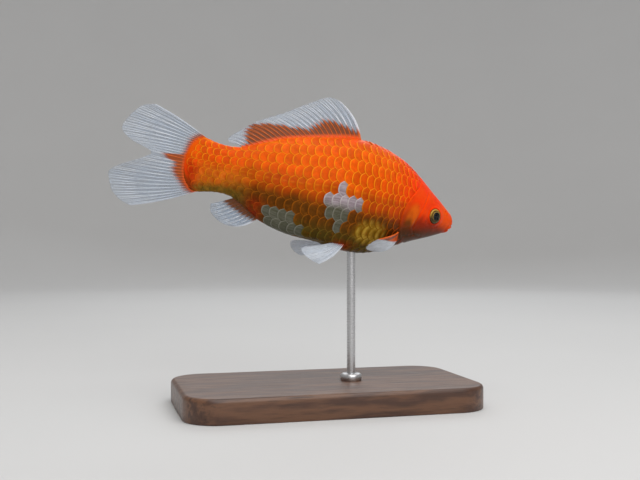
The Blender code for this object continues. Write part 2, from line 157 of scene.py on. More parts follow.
def smooth_curve(points):
    """A natural cubic spline through (x, value) pairs, as a function."""
    x, y = (np.array(c, float) for c in zip(*points))
    n, step = len(x), np.diff(x)
    system, right = np.eye(n), np.zeros(n)
    for i in range(1, n - 1):
        system[i, i - 1 : i + 2] = step[i - 1], 2 * (step[i - 1] + step[i]), step[i]
        right[i] = 6 * ((y[i + 1] - y[i]) / step[i] - (y[i] - y[i - 1]) / step[i - 1])
    bend = np.linalg.solve(system, right)

    def value(at):
        at = np.asarray(at, float)
        i = np.clip(np.searchsorted(x, at) - 1, 0, n - 2)
        low, high, width = at - x[i], x[i + 1] - at, step[i]
        return (
            (bend[i] * high**3 + bend[i + 1] * low**3) / (6 * width)
            + (y[i] / width - bend[i] * width / 6) * high
            + (y[i + 1] / width - bend[i + 1] * width / 6) * low
        )

    return value


def table_curves(table):
    """A smooth curve over the table's first column for each of the others."""
    return [smooth_curve([(row[0], row[k]) for row in table]) for k in range(1, len(table[0]))]


BACK, BELLY, HALF_WIDTH, BACK_SHARP, BELLY_SHARP = table_curves(STATIONS)
GILL_EDGE = smooth_curve(GILL_LINE)


def ramp(value, low, high):
    """0 below low, 1 above high, smooth between; low may be the larger."""
    t = np.clip((np.asarray(value, float) - low) / (high - low), 0, 1)
    return t * t * (3 - 2 * t)


def bump(value, width):
    """A hill of height 1 at 0."""
    return np.exp(-((value / width) ** 2))


def line_distance(x, y, points):
    """Distance of each (x, y) from a line of straight pieces."""
    nearest = np.full(np.broadcast(x, y).shape, np.inf)
    for (x0, y0), (x1, y1) in zip(points, points[1:]):
        dx, dy = x1 - x0, y1 - y0
        t = np.clip(((x - x0) * dx + (y - y0) * dy) / (dx * dx + dy * dy), 0, 1)
        nearest = np.minimum(nearest, np.hypot(x - x0 - t * dx, y - y0 - t * dy))
    return nearest


def ripple(x, y, z=0.0, seed=0.0):
    """Smooth noise from -1 to 1 with features about one unit across."""
    total = 0.0
    for k in range(1, 5):
        a, b, c = (math.sin(k * turn + seed) for turn in (12.9, 78.2, 37.7))
        waves = (1.3 + a) * x * 2 + (1.1 + b) * y * 2.3 + (1 + c) * z * 2.1
        total = total + np.sin(waves + 5 * k + seed)
    return total / 4


# The body's shape


def heading(s):
    """Which way the midline points, in radians to the left of the chord."""
    blend = ramp(s, BEND_FROM, BEND_TO)
    return np.radians(HEAD_TURN + (TAIL_TURN - HEAD_TURN) * blend)


MIDLINE_S = np.linspace(-0.2, 1.5, 3401)
_STEP = BODY_LENGTH * (MIDLINE_S[1] - MIDLINE_S[0])
MIDLINE_X = -np.cumsum(np.cos(heading(MIDLINE_S))) * _STEP
MIDLINE_Y = -np.cumsum(np.sin(heading(MIDLINE_S))) * _STEP


def place(s, left, height):
    """Body coordinates to millimetres in the fish's frame, as an array with x, y, z last."""
    s, left, height = np.broadcast_arrays(*(np.asarray(v, float) for v in (s, left, height)))
    s = s + HEAD_DRAWN * ramp(s, HEAD_END, 0)
    turn = heading(s)
    start = [np.interp(CENTRE_S, MIDLINE_S, line) for line in (MIDLINE_X, MIDLINE_Y)]
    x = np.interp(s, MIDLINE_S, MIDLINE_X) - start[0] - left * np.sin(turn)
    y = np.interp(s, MIDLINE_S, MIDLINE_Y) - start[1] + left * np.cos(turn)
    return np.stack([x, y, height], axis=-1)


def closing(s):
    """The share of its full section that the body has at s, as the snout and tail base close."""
    snout = np.clip(s / SNOUT_ROUNDING, 0, 1)
    tail = np.clip((s - TAIL_ROUNDING[0]) / (TAIL_ROUNDING[1] - TAIL_ROUNDING[0]), 0, 1)
    return np.sqrt(1 - (1 - snout) ** 2) * np.sqrt(1 - tail**2)


def axis_height(s):
    """Height of the body's widest point at s."""
    return BELLY(s) + WIDEST * (BACK(s) - BELLY(s))


def section(s, angle):
    """(left, height) of the body's surface at s, at this angle in degrees round it."""
    s, angle = np.broadcast_arrays(np.asarray(s, float), np.radians(np.asarray(angle, float)))
    middle = axis_height(s)
    across, upright = np.sin(angle), np.cos(angle)
    sharp = np.where(upright > 0, BACK_SHARP(s), BELLY_SHARP(s))
    power = 1 + (sharp - 1) * upright**2
    reach = np.where(upright > 0, BACK(s) - middle, middle - BELLY(s))
    share = closing(s)
    left = share * HALF_WIDTH(s) * np.sign(across) * np.abs(across) ** power
    return left, middle + share * reach * upright


def surface(s, angle):
    """The body's surface as points in the fish's frame."""
    return place(s, *section(s, angle))


def surface_normal(s, angle):
    """Outward directions of the surface."""
    along = surface(s + 1e-3, angle) - surface(np.maximum(s - 1e-3, 0), angle)
    around = surface(s, angle + 0.5) - surface(s, angle - 0.5)
    out = np.cross(around, along)
    return out / np.maximum(np.linalg.norm(out, axis=-1, keepdims=True), 1e-12)


TIP = math.radians(NOSE_DOWN)


def tipped(points):
    """The nose tipped down, round the fish's own origin."""
    points = np.asarray(points, float)
    forward = points[..., 0] * math.cos(TIP) + points[..., 2] * math.sin(TIP)
    up = points[..., 2] * math.cos(TIP) - points[..., 0] * math.sin(TIP)
    return np.stack([forward, points[..., 1], up], axis=-1)


def fish_centre():
    """The fish's own origin in the world, in millimetres: its belly rests on the CAD rod."""
    low, high = (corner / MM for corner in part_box("stand_rod"))
    top = high.z + GAP + math.tan(TIP) * ROD_RADIUS
    foot = tipped(surface(ROD_S, 180.0))
    return np.array([(low.x + high.x) / 2, (low.y + high.y) / 2, top]) - foot


# Distances round the body, from the back's midline to the belly's: half the girth, the angle at
# each share of it, and the share at each angle

GIRTH_S = np.linspace(0.12, 1.014, 450)
_ANGLES = np.linspace(0, 180, 361)
_RIMS = np.stack(section(GIRTH_S[:, None], _ANGLES[None, :]), axis=-1)
_LENGTHS = np.cumsum(np.linalg.norm(np.diff(_RIMS, axis=1), axis=-1), axis=1)
_LENGTHS = np.hstack([np.zeros((len(GIRTH_S), 1)), _LENGTHS])
HALF_GIRTH = _LENGTHS[:, -1]
_SHARES = np.linspace(0, 1, 241)
ANGLE_AT = np.array([np.interp(_SHARES, row / row[-1], _ANGLES) for row in _LENGTHS])
SHARE_AT = _LENGTHS / HALF_GIRTH[:, None]


def table_value(table, s, share):
    """Reads a table over GIRTH_S and an even 0 to 1, between its entries."""
    i = np.clip((s - GIRTH_S[0]) / (GIRTH_S[-1] - GIRTH_S[0]), 0, 1) * (len(GIRTH_S) - 1)
    j = np.clip(share, 0, 1) * (table.shape[1] - 1)
    i0 = np.minimum(i.astype(int), len(GIRTH_S) - 2)
    j0 = np.minimum(j.astype(int), table.shape[1] - 2)
    di, dj = i - i0, j - j0
    return (
        table[i0, j0] * (1 - di) * (1 - dj)
        + table[i0 + 1, j0] * di * (1 - dj)
        + table[i0, j0 + 1] * (1 - di) * dj
        + table[i0 + 1, j0 + 1] * di * dj
    )


def half_girth(s):
    return np.interp(s, GIRTH_S, HALF_GIRTH)


# Markings, and painted shade and glow, as shares from 0 to 1 over the body

# Outlines of the white patches, as (s, angle): the right flank's, the belly's on both sides and
# the left flank's
WHITE_FLANK = (
    (0.520, 82), (0.506, 86), (0.500, 95), (0.484, 96), (0.473, 93), (0.447, 96), (0.439, 103),
    (0.464, 109), (0.479, 119), (0.486, 130), (0.514, 148), (0.530, 144), (0.508, 130),
    (0.512, 122), (0.546, 118), (0.563, 107), (0.565, 99), (0.556, 94), (0.541, 98),
    (0.526, 94), (0.530, 86),
)
WHITE_BELLY = (
    (0.741, 173), (0.737, 134), (0.721, 121), (0.689, 118), (0.677, 130), (0.652, 128),
    (0.644, 139), (0.622, 138), (0.609, 156), (0.633, 182), (0.700, 186),
)
WHITE_LEFT = (
    (0.590, 108), (0.565, 98), (0.545, 104), (0.520, 100), (0.505, 112), (0.522, 124),
    (0.510, 138), (0.530, 146), (0.552, 128), (0.585, 122),
)
MM_PER_DEGREE = 0.30  # round the body, about


def outline_depth(s, angle, corners):
    """Millimetres inside a closed outline of (s, angle) corners, negative outside it."""
    x, y = np.broadcast_arrays(s * BODY_LENGTH, np.abs(angle) * MM_PER_DEGREE)
    ends = [(a * BODY_LENGTH, b * MM_PER_DEGREE) for a, b in corners]
    ends.append(ends[0])
    inside = np.zeros(x.shape, bool)
    for (x0, y0), (x1, y1) in zip(ends, ends[1:]):
        if y0 != y1:
            inside ^= ((y0 > y) != (y1 > y)) & (x < x0 + (y - y0) * (x1 - x0) / (y1 - y0))
    return np.where(inside, 1, -1) * line_distance(x, y, ends)


def white_share(s, angle):
    """The white patches: one on each flank, and one on the belly that both sides share."""
    right, left, belly = (
        outline_depth(s, angle, patch) for patch in (WHITE_FLANK, WHITE_LEFT, WHITE_BELLY)
    )
    return ramp(np.maximum(np.where(angle < 0, right, left), belly), -0.3, 0.3)


def markings(s, angle):
    """The share of each marking, and of the painted shade and glow, at these places on the body, by
    name.
    """
    height, down = section(s, angle)[1], np.abs(angle)

    # Where the flank turns from orange to brown, downwards from the lateral line: partly brown
    # colour, partly painted shade of the lower flank
    low = height + 1.1 * ripple(s * 45, angle * 0.04, 0, 5.0) - 1.3 * bump(s - 0.72, 0.10)
    body = ramp(s, 0.20, 0.25) * (1 - 0.62 * ramp(s, 0.80, 0.90)) * ramp(s, 0.985, 0.95)
    brown_and_shade = body * (0.34 * ramp(low, 3.5, -1.0) + 0.66 * ramp(low, -3.0, -9.5))

    # Where the brown turns olive green, on the belly
    sage = ramp(down + 5 * ripple(s * 40, angle * 0.05, 0, 1.0), 122, 148) * ramp(s, 0.26, 0.33)

    # The golden scales over the pectoral fin, and along the foot of the tail stem
    off = np.hypot((s - 0.388) * BODY_LENGTH / 7.6, (down - 130) / 17.0)
    stem = ramp(s, 0.76, 0.86) * ramp(s, 0.99, 0.95) * ramp(height, 3.0, -5.0)
    gold = np.clip(ramp(off, 1.15, 0.6) + 0.25 * stem, 0, 1)

    # Where the orange is nearly red: the head and nape, the back's ridge and the tail base. Along
    # the back's ridge the red is a painted glow of light shining through the thin back
    head = ramp(s, 0.37, 0.21) * (0.45 + 0.55 * ramp(s, 0.05, 0.14))
    ridge = 0.6 * ramp(BACK(np.clip(s, 0, 1.02)) - height, 4.0, 0.3) * ramp(s, 0.62, 0.42)
    base = 0.85 * ramp(s, 0.935, 0.975) * ramp(height, 4.0, -4.0)
    red_and_glow = np.clip(head + ridge + base, 0, 1)

    # Dark red painted shade: the lower cheek, before the anal fin, at the pelvic fins and under the
    # tail base
    low = height + 22 * np.maximum(0.13 - s, 0) + 0.7 * ripple(s * 70, height * 0.3, 0, 2.0)
    cheek = ramp(s, 0.32, 0.25) * ramp(low, 0.3, -5.5)
    anal = bump(s - 0.765, 0.035) * ramp(height, -7.0, -13.0)
    pelvic = bump(s - 0.462, 0.03) * ramp(height, -18.5, -21.5)
    base = 0.7 * bump(s - 0.985, 0.022) * ramp(height, 4.0, -5.0)
    red_shade = np.clip(cheek + anal + pelvic + base, 0, 1)

    # The field of the gill cover, golden above and olive below: the gold is partly a painted sheen,
    # and the olive lower down follows the brown and painted shade of the flank
    x, y = (s - 0.240) * BODY_LENGTH, height + 3.6
    olive = ramp(np.hypot((x + 0.24 * y) / 3.3, y / 6.4), 1.25, 0.55)

    # Painted shade, in red brown, on the underside of the head
    low = height + 16 * (s - 0.13)
    throat = ramp(s, 0.03, 0.075) * ramp(s, 0.33, 0.27) * ramp(low, -3.6, -9.5)
    return dict(
        brown_and_shade=brown_and_shade, sage=sage, gold=gold, red_and_glow=red_and_glow, red_shade=red_shade, olive=olive, throat=throat
    )


# Meshes


def grid_faces(rows, columns, closed=False, start=0):
    """Quads over a grid of points, whose columns may close into rings."""
    i, j = np.meshgrid(np.arange(rows - 1), np.arange(columns - (not closed)), indexing="ij")
    k = (j + 1) % columns
    corners = [i * columns + j, i * columns + k, (i + 1) * columns + k, (i + 1) * columns + j]
    return np.stack([c.ravel() for c in corners], axis=-1) + start


def link(name, data):
    """A new object in the scene."""
    made = bpy.data.objects.new(name, data)
    bpy.context.scene.collection.objects.link(made)
    return made


def add_mesh(name, points, faces, look, values=None, maps=None):
    """A piece that rides on the model. points are world metres.

    values are numbers for each point, by name, and maps are UV places for each face corner.
    """
    mesh = bpy.data.meshes.new(name)
    mesh.from_pydata(np.asarray(points).tolist(), [], [list(map(int, face)) for face in faces])
    for key, numbers in (values or {}).items():
        layer = mesh.attributes.new(key, "FLOAT", "POINT")
        layer.data.foreach_set("value", np.asarray(numbers, np.float32).ravel())
    for key, places in (maps or {}).items():
        layer = mesh.uv_layers.new(name=key, do_init=False)
        layer.uv.foreach_set("vector", np.asarray(places, np.float32).ravel())
    shape = bmesh.new()
    shape.from_mesh(mesh)
    bmesh.ops.recalc_face_normals(shape, faces=shape.faces)
    shape.to_mesh(mesh)
    shape.free()
    mesh.shade_smooth()
    mesh.materials.append(look)
    piece = link(name, mesh)
    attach(piece, "root")
    return piece


def to_world(points, centre):
    """Millimetres in the fish's frame to world metres."""
    return (tipped(points) + centre) * MM


def ring_points(profile, segments):
    """Rings of points round the z axis, one for each (radius, height)."""
    turns = np.arange(segments) * 2 * math.pi / segments
    around = np.stack([np.cos(turns), np.sin(turns), np.zeros(segments)], axis=-1)
    return [around * radius + [0, 0, height] for radius, height in profile]


def ring_faces(rings, segments):
    """Quads between rings of points, and a fan at each end to one point more for each end."""
    faces = grid_faces(rings, segments, closed=True).tolist()
    for ring, end in ((0, 0), (rings - 1, 1)):
        first, tip = ring * segments, rings * segments + end
        faces += [(first + j, first + (j + 1) % segments, tip) for j in range(segments)]
    return faces


# Skin

HEAD_RINGS, BODY_RINGS, ROUND = 150, 96, 288
HEAD_CROWDING, TAIL_CROWDING = 1.55, 1.25  # how the rings crowd towards the snout and the tail
HEAD_CLEAR, BODY_CLEAR = 1.8, 1.9  # millimetres that they stop short of the gill line
# The rings of the gill cover's free edge: millimetres past the gill line, and the height over
# the bare skin. The surface folds under the edge and comes out again under the first scales
GILL_FOLD = (
    (-1.30, 0.06), (-0.80, 0.10), (-0.40, 0.12), (-0.12, 0.08), (0.04, -0.02), (0.02, -0.16),
    (-0.25, -0.30), (-0.30, -0.50), (0.10, -0.72), (0.70, -0.70), (1.60, -0.44),
)
# Degrees from the back over which that edge comes free, and over which it joins the throat
EDGE_FREE, EDGE_JOINED = (50, 68), (150, 180)
# Lines on the head, as (millimetres behind the snout, height)
CHEEK_GROOVE = (
    (21.6, 8.0), (23.4, 4.0), (25.4, -0.5), (27.4, -5.0), (27.6, -8.0), (25.0, -10.3),
    (19.5, -10.6),
)
GILL_SEAMS = (
    ((27.6, -7.0), (31.0, -8.6), (33.6, -9.6)), ((24.6, -10.4), (28.0, -11.6), (31.2, -12.4)),
)
EYE_FOLD = ((11.6, -3.4), (14.2, -5.2), (17.4, -5.5), (20.2, -4.2), (22.0, -1.4))
MOUTH_FOLD = ((2.9, -0.6), (4.4, -2.2), (5.9, -4.4), (6.1, -6.0))
PORE_LINES = (
    ((5.2, 3.6), (9.5, 6.0), (14.0, 7.2), (18.5, 8.4), (22.5, 9.8)),
    ((9.8, -2.6), (13.0, -5.0), (17.0, -6.2), (20.6, -4.6), (22.4, -1.0)),
    ((22.6, 5.5), (24.4, 1.6), (26.3, -2.6), (27.2, -6.6), (24.6, -9.6), (20.0, -9.9)),
)
PORE_START, PORE_PITCH = 0.8, 1.55  # along those lines
MOUTH_CORNER = 5.0  # millimetres behind the snout


def mouth_line(x):
    """Height of the mouth's slit at this many millimetres behind the snout."""
    return -3.15 - 0.36 * x


def mouth_relief(x, left, height):
    """Slit, lips and the folds round them."""
    off = height - mouth_line(x)
    reach = ramp(x, MOUTH_CORNER + 0.5, MOUTH_CORNER - 0.9)
    slit = -0.85 * bump(off, 0.24)
    upper = 0.27 * bump(off - 0.72, 0.46) - 0.20 * bump(off - 1.62, 0.30)
    lower = 0.30 * bump(off + 0.80, 0.50) - 0.20 * bump(off + 1.85, 0.34)
    fold = line_distance(x, height, MOUTH_FOLD)
    side = ramp(np.abs(left), 1.0, 2.4)
    return reach * (slit + upper + lower) - 0.20 * side * bump(fold, 0.30)


def nostril_relief(x, left, height):
    """Two openings on each side, with a flap of skin standing up between them."""
    side = ramp(np.abs(left), 1.2, 2.0)
    front = np.hypot((x - 7.2) / 0.52, (height - 2.3) / 0.46)
    rear = np.hypot((x - 8.4) / 0.62, (height - 2.9) / 0.44)
    flap = np.hypot((x - 7.8) / 0.28, (height - 2.6) / 0.66)
    pits = -0.62 * ramp(front, 1.15, 0.55) - 0.70 * ramp(rear, 1.15, 0.55)
    rim = 0.10 * (bump(front - 1.35, 0.28) + bump(rear - 1.35, 0.28))
    return side * (pits + rim + 0.34 * bump(flap, 0.85))


def eye_relief(x, left, height):
    """A socket in a low mound that meets the eye's rim, and the fold under it."""
    ahead = EYE_S * BODY_LENGTH - x
    away = np.hypot(ahead, height - section(EYE_S, EYE_ANGLE)[1])
    socket = -2.0 * ramp(away, EYE_RADIUS + 0.10, EYE_RADIUS - 0.45)
    mound = ramp(away, EYE_RADIUS + 3.2, EYE_RADIUS) * (0.20 + 0.11 * ahead)
    rim = 0.17 * bump(away - EYE_RADIUS - 0.34, 0.34) - 0.10 * bump(away - EYE_RADIUS - 1.3, 0.5)
    fold = -0.12 * bump(line_distance(x, height, EYE_FOLD), 0.35)
    return np.where(np.abs(left) > 1.5, socket + mound + rim + fold, 0.0)


def cheek_relief(x, left, height):
    """The bones of the gill cover and the swell of the cheek before them."""
    away = line_distance(x, height, CHEEK_GROOVE)
    groove, lip = -0.20 * bump(away, 0.50), 0.08 * bump(away - 0.9, 0.6)
    seams = sum(-0.15 * bump(line_distance(x, height, seam), 0.30) for seam in GILL_SEAMS)
    swell = 0.26 * bump(np.hypot((x - 21.0) / 4.5, (height + 5.5) / 4.5), 1.0)
    plate = 0.24 * bump(np.hypot((x - 31.0) / 4.0, (height + 2.0) / 6.5), 1.0)
    return (groove + lip + seams + swell + plate) * ramp(np.abs(left), 2.0, 4.5)


def pore_relief(x, left, height):
    """The small pores in lines over the eye, round it and down the cheek."""
    relief = 0.0
    for line in PORE_LINES:
        ends = np.array(line)
        run = np.concatenate([[0], np.cumsum(np.hypot(*np.diff(ends, axis=0).T))])
        for mark in np.arange(PORE_START, run[-1], PORE_PITCH):
            px, py = (np.interp(mark, run, ends[:, k]) for k in (0, 1))
            relief = relief - 0.16 * bump(np.hypot(x - px, height - py), 0.24)
    return relief * ramp(np.abs(left), 1.5, 3.0)


def skin_rings():
    """For each ring: s at each angle, and the depth of the skin there, before its relief."""
    angles = np.arange(ROUND) * 360.0 / ROUND
    from_back = np.minimum(angles, 360 - angles)
    edge = GILL_EDGE(from_back)
    free = ramp(from_back, *EDGE_FREE) * (1 - 0.55 * ramp(from_back, *EDGE_JOINED))
    steps = np.linspace(0, 1, HEAD_RINGS)[1:, None] ** HEAD_CROWDING
    s = [(edge - HEAD_CLEAR / BODY_LENGTH) * steps]
    depth = [np.full_like(s[0], HEAD_DEPTH)]
    fold_from, fold_to = GILL_FOLD[0][0], GILL_FOLD[-1][0]
    for i, (past, height) in enumerate(GILL_FOLD):
        share = (i + 1) / len(GILL_FOLD)
        plain = fold_from + (fold_to - fold_from) * share  # where the edge isn't free
        flat = HEAD_DEPTH + (COAT_DEPTH - HEAD_DEPTH) * ramp(share, 0, 1)
        s.append((edge + (past * free + plain * (1 - free)) / BODY_LENGTH)[None, :])
        depth.append(((HEAD_DEPTH - height) * free + flat * (1 - free))[None, :])
    steps = 1 - (1 - np.linspace(0, 1, BODY_RINGS)[1:, None]) ** TAIL_CROWDING
    start = edge + BODY_CLEAR / BODY_LENGTH
    rear = start + (TAIL_ROUNDING[1] - 0.0003 - start) * steps
    s.append(rear)
    depth.append(COAT_DEPTH * (1 - 0.75 * ramp(rear, 0.985, 1.012)))
    return np.vstack(s), np.vstack(depth), angles


def build_skin(look, centre):
    """One closed skin with the face and gill covers in it, in place of the flesh."""
    s, depth, angles = skin_rings()
    angle = np.broadcast_to(np.where(angles > 180, angles - 360, angles), s.shape)
    left, height = section(s, angle)
    x = s * BODY_LENGTH
    reliefs = (mouth_relief, nostril_relief, eye_relief, cheek_relief, pore_relief)
    relief = sum(make(x, left, height) for make in reliefs) * ramp(s, 0.30, 0.27)
    points = surface(s, angle) + surface_normal(s, angle) * (relief - depth)[..., None]
    rings = s.shape[0]
    ends = [points[0].mean(axis=0), points[-1].mean(axis=0)]

    # The map unrolls the skin: rings across it, angles up it, and the ends' fans beside them
    row, column = np.divmod(np.arange((rings - 1) * ROUND), ROUND)
    along = np.stack([row, row, row + 1, row + 1], axis=-1)
    across = np.stack([column, column + 1, column + 1, column], axis=-1)
    places = [np.stack([along.ravel(), across.ravel()], axis=-1)]
    for rim, tip in ((0, -0.9), (rings - 0.98, rings - 0.1)):
        along = np.broadcast_to([rim, rim, tip], (ROUND, 3))
        across = np.arange(ROUND)[:, None] + [0, 1, 0.5]
        places.append(np.stack([along.ravel(), across.ravel()], axis=-1))
    places = 0.012 + 0.972 * np.vstack(places) / [rings, ROUND]
    values = {**markings(s, angle), "white": white_share(s, angle)}
    flat = {key: np.append(v.ravel(), [v[0, 0], v[-1, 0]]) for key, v in values.items()}
    points = to_world(np.vstack([points.reshape(-1, 3), ends]), centre)
    skin = add_mesh("skin", points, ring_faces(rings, ROUND), look, flat, {"OFBake": places})
    flesh = ("head", "lower_jaw", "gill_cover_left", "gill_cover_right", "trunk", "tail_stem")
    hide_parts(*flesh)


# Scales

# s, distance between scales along a row, distance between rows
SCALE_SIZES = (
    (0.15, 2.6, 4.2), (0.28, 2.8, 4.8), (0.40, 3.0, 5.2), (0.55, 3.05, 5.15), (0.70, 3.2, 4.5),
    (0.82, 3.2, 3.7), (0.92, 2.8, 3.1), (1.02, 2.0, 2.7),
)
SCALE_PITCH, ROW_PITCH = table_curves(SCALE_SIZES)
SCALE_FROM, SCALE_TO = 0.15, 0.998  # s that the columns run past
TAIL_CORNERS = 0.99  # s past which the corners of the tail base carry no scales
COAT_SPLIT = 0.60  # s between the front and the rear pieces
SCALE_SEED = 11
FIRST_EDGE = 0.528  # s of the free edge of the scale that the columns are counted from
LAST_ROW = 9  # counted from the lateral line to the back's midline and to the belly's
ROW_MARGIN = 0.38  # how close to those midlines another row may be, in rows
GILL_MARGIN = 1.2  # millimetres from the gill line to the first free edges
LATERAL_LINE = 89.0  # degrees from the back
SCALE_REACH = 2.1  # length of a whole scale, in pitches
SCALE_HALF = 0.74  # half its width, in rows
EDGE_SLOPE = 1.85  # how its free edge falls back, in pitches
EDGE_BEND, EDGE_ROUND = 0.5, 0.19  # at which share of its half width, and how gently
ALONG = np.array([0.0, 0.3, 0.5, 0.64, 0.76, 0.85, 0.92, 0.965, 1.0])
_HALF_ACROSS = np.array([0.18, 0.36, 0.49, 0.61, 0.73, 0.86, 1.0])
ACROSS = np.concatenate([-_HALF_ACROSS[::-1], [0.0], _HALF_ACROSS])
BACK_BARE = ((0.435, 0.842),)  # where the dorsal fin leaves no scale on the ridge
BELLY_BARE = ((0.735, 0.835), (0.385, 0.415))  # the anal fin and the rod


def scale_columns():
    """Pairs of a column's number and the s of its scales' free edges, half a pitch apart."""
    columns = {0: FIRST_EDGE}
    for way in (1, -1):
        number = 0
        while SCALE_FROM < columns[number] < SCALE_TO:
            here = columns[number]
            columns[number + way] = here + way * 0.5 * float(SCALE_PITCH(here)) / BODY_LENGTH
            number += way
    return sorted(columns.items())


def scale_sites():
    """(column, row, s of the free edge, side, share of the half girth) for each scale.

    Rows run along the body and are counted from the lateral line. Odd rows stand in odd
    columns, and the last row on each side straddles the back or the belly.
    """

    def behind_gills(s, angle):
        return s > GILL_EDGE(angle) + GILL_MARGIN / BODY_LENGTH

    sites = []
    for column, s in scale_columns():
        girth, step = float(half_girth(s)), float(ROW_PITCH(s))
        line = float(table_value(SHARE_AT, np.array(s), np.array(LATERAL_LINE / 180))) * girth
        for row in range(1 - LAST_ROW, LAST_ROW):
            down = line + row * step
            inside = ROW_MARGIN * step < down < girth - ROW_MARGIN * step
            if (row - column) % 2 or not inside:
                continue
            angle = float(table_value(ANGLE_AT, np.array(s), np.array(down / girth)))
            corner = s > TAIL_CORNERS and abs(down / girth - 0.5) > 0.35
            if behind_gills(s, angle) and not corner:
                sites += [(column, row, s, side, down / girth) for side in (1, -1)]
        for row, share, bare in ((-LAST_ROW, 0.0, BACK_BARE), (LAST_ROW, 1.0, BELLY_BARE)):
            clear = s < TAIL_CORNERS and not any(low < s < high for low, high in bare)
            if column % 2 == 0 and clear and behind_gills(s, 180 * share):
                sites.append((column, row, s, 1, share))
    return np.array(sites)


def scale_sheets(s_edge, share, side, rng):
    """Points of the scales' outer and inner sheets, their s and angle, and their way to the edge.

    A scale's root lies ahead of its free edge, deeper in the coat, so each one overlaps the
    one behind it and the two beside it.
    """
    s_edge, share, side = (v[:, None, None] for v in (s_edge, share, side))
    pitch, row = SCALE_PITCH(s_edge), ROW_PITCH(s_edge)
    astride = (share == 0) | (share == 1)  # the back or the belly: narrower and flatter
    length, half = SCALE_REACH * pitch, SCALE_HALF * row * np.where(astride, 0.98, 1)
    a, b = ALONG[None, :, None], ACROSS[None, None, :]
    uneven = rng.standard_normal((3, *s_edge.shape))
    past = np.abs(b + 0.02 * uneven[0]) - EDGE_BEND
    fall = EDGE_SLOPE * pitch * (past + np.hypot(past, EDGE_ROUND)) / 2
    free = length * (1 + 0.012 * uneven[1]) - fall
    x = free * a
    y = half * b * (0.80 + 0.20 * np.sin(np.pi * np.clip(a, 0, 0.9) / 1.4))
    s = s_edge + (x - length) / BODY_LENGTH
    s = np.clip(s, GIRTH_S[0], TAIL_ROUNDING[1] - 0.0012)
    girth = half_girth(s)
    down = share * girth + y * ROW_PITCH(s) / row
    far = np.where((down < 0) | (down > girth), -1, 1)  # over the midline
    down = girth - np.abs(girth - np.abs(down))
    angle = side * far * table_value(ANGLE_AT, s, down / girth)
    lift = (COAT_DEPTH - 0.05) * np.clip(x / length, 0, 1.1)
    lift = lift * np.where(astride, 0.55 - 0.40 * np.abs(b), 1)
    depth = COAT_DEPTH - 0.02 - lift + 0.015 * uneven[2] * a * b
    to_edge = np.minimum(free - x, (1 - np.abs(b)) * half * 0.9)
    base, out = surface(s, angle), surface_normal(s, angle)
    thick = SCALE_THICKNESS * (0.7 + 0.3 * ramp(to_edge, 0.0, 0.5))
    outer = base - out * (depth + 0.05 * ramp(to_edge, 0.30, 0.0))[..., None]
    inner = base - out * (depth + thick)[..., None]
    return outer, inner, s, angle, to_edge


def scale_topology():
    """One scale's faces, and which points of the inner sheet are its own.

    The rim's points belong to both sheets, which closes the scale.
    """
    shape = (len(ALONG), len(ACROSS))
    rim = np.ones(shape, bool)
    rim[1:-1, 1:-1] = False
    own = ~rim.ravel()
    number = np.arange(own.size)
    number[own] = own.size + np.arange(own.sum())
    outer = grid_faces(*shape)
    return outer, number[outer][:, ::-1], own


def build_scales(look, centre):
    """The scales as closed solids, joined in four pieces: front and rear of each side."""
    rng = np.random.default_rng(SCALE_SEED)
    sites = scale_sites()
    outer_faces, inner_faces, own = scale_topology()
    a, b = (v.ravel() for v in np.meshgrid(ALONG, (ACROSS + 1) / 2, indexing="ij"))
    cell = np.vstack([
        np.stack([a[corners] * 0.92, start + b[corners] * height], axis=-1)
        for corners, start, height in (
            (outer_faces.ravel(), 0, 0.66), (outer_faces[:, ::-1].ravel(), 0.72, 0.22),
        )
    ])
    for side, front in ((1, True), (1, False), (-1, True), (-1, False)):
        mine = (sites[:, 3] == side) & ((sites[:, 2] < COAT_SPLIT) == front)
        column, row, s_edge, sides, share = sites[mine].T
        outer, inner, s, angle, to_edge = scale_sheets(s_edge, share, sides, rng)
        number, count = len(s_edge), own.size
        sheets = [outer.reshape(number, count, 3), inner.reshape(number, count, 3)[:, own]]
        points = np.concatenate(sheets, axis=1)
        starts = (np.arange(number) * points.shape[1])[:, None, None]
        faces = np.concatenate([outer_faces + starts, inner_faces + starts], axis=1)

        # Each scale has its own cell on the map, at its place on the unrolled body
        columns = column.max() - column.min() + 2
        rows = 2 * LAST_ROW + 1
        corner = np.stack([(column - column.min()) / columns, (row + LAST_ROW) / rows], axis=-1)
        places = 0.01 + 0.98 * (corner[:, None, :] + cell * [2 / columns, 1 / rows])

        middle = s_edge - 0.5 * SCALE_PITCH(s_edge) / BODY_LENGTH
        white = white_share(middle, sides * table_value(ANGLE_AT, middle, share))
        tube = np.outer(ramp(ALONG, 0.60, 0.70) * ramp(ALONG, 0.95, 0.86), bump(ACROSS, 0.10))
        values = {
            **markings(s, angle),
            "white": (white > 0.5)[:, None, None],
            "edge": to_edge,
            "tone": rng.uniform(-1, 1, number)[:, None, None],
            "along": ALONG[None, :, None],
            "across": ACROSS[None, None, :],
            "pore": tube * (row == 0)[:, None, None],
        }
        flat = {}
        for key, value in values.items():
            value = np.broadcast_to(value, s.shape).reshape(number, count)
            flat[key] = np.concatenate([value, value[:, own]], axis=1)
        name = f"scales_{'left' if side > 0 else 'right'}_{'front' if front else 'rear'}"
        world = to_world(points.reshape(-1, 3), centre)
        uv = {"OFBake": places.reshape(-1, 2)}
        piece = add_mesh(name, world, faces.reshape(-1, 4), look, flat, uv)


# Fins

COLUMNS_PER_RAY = 8


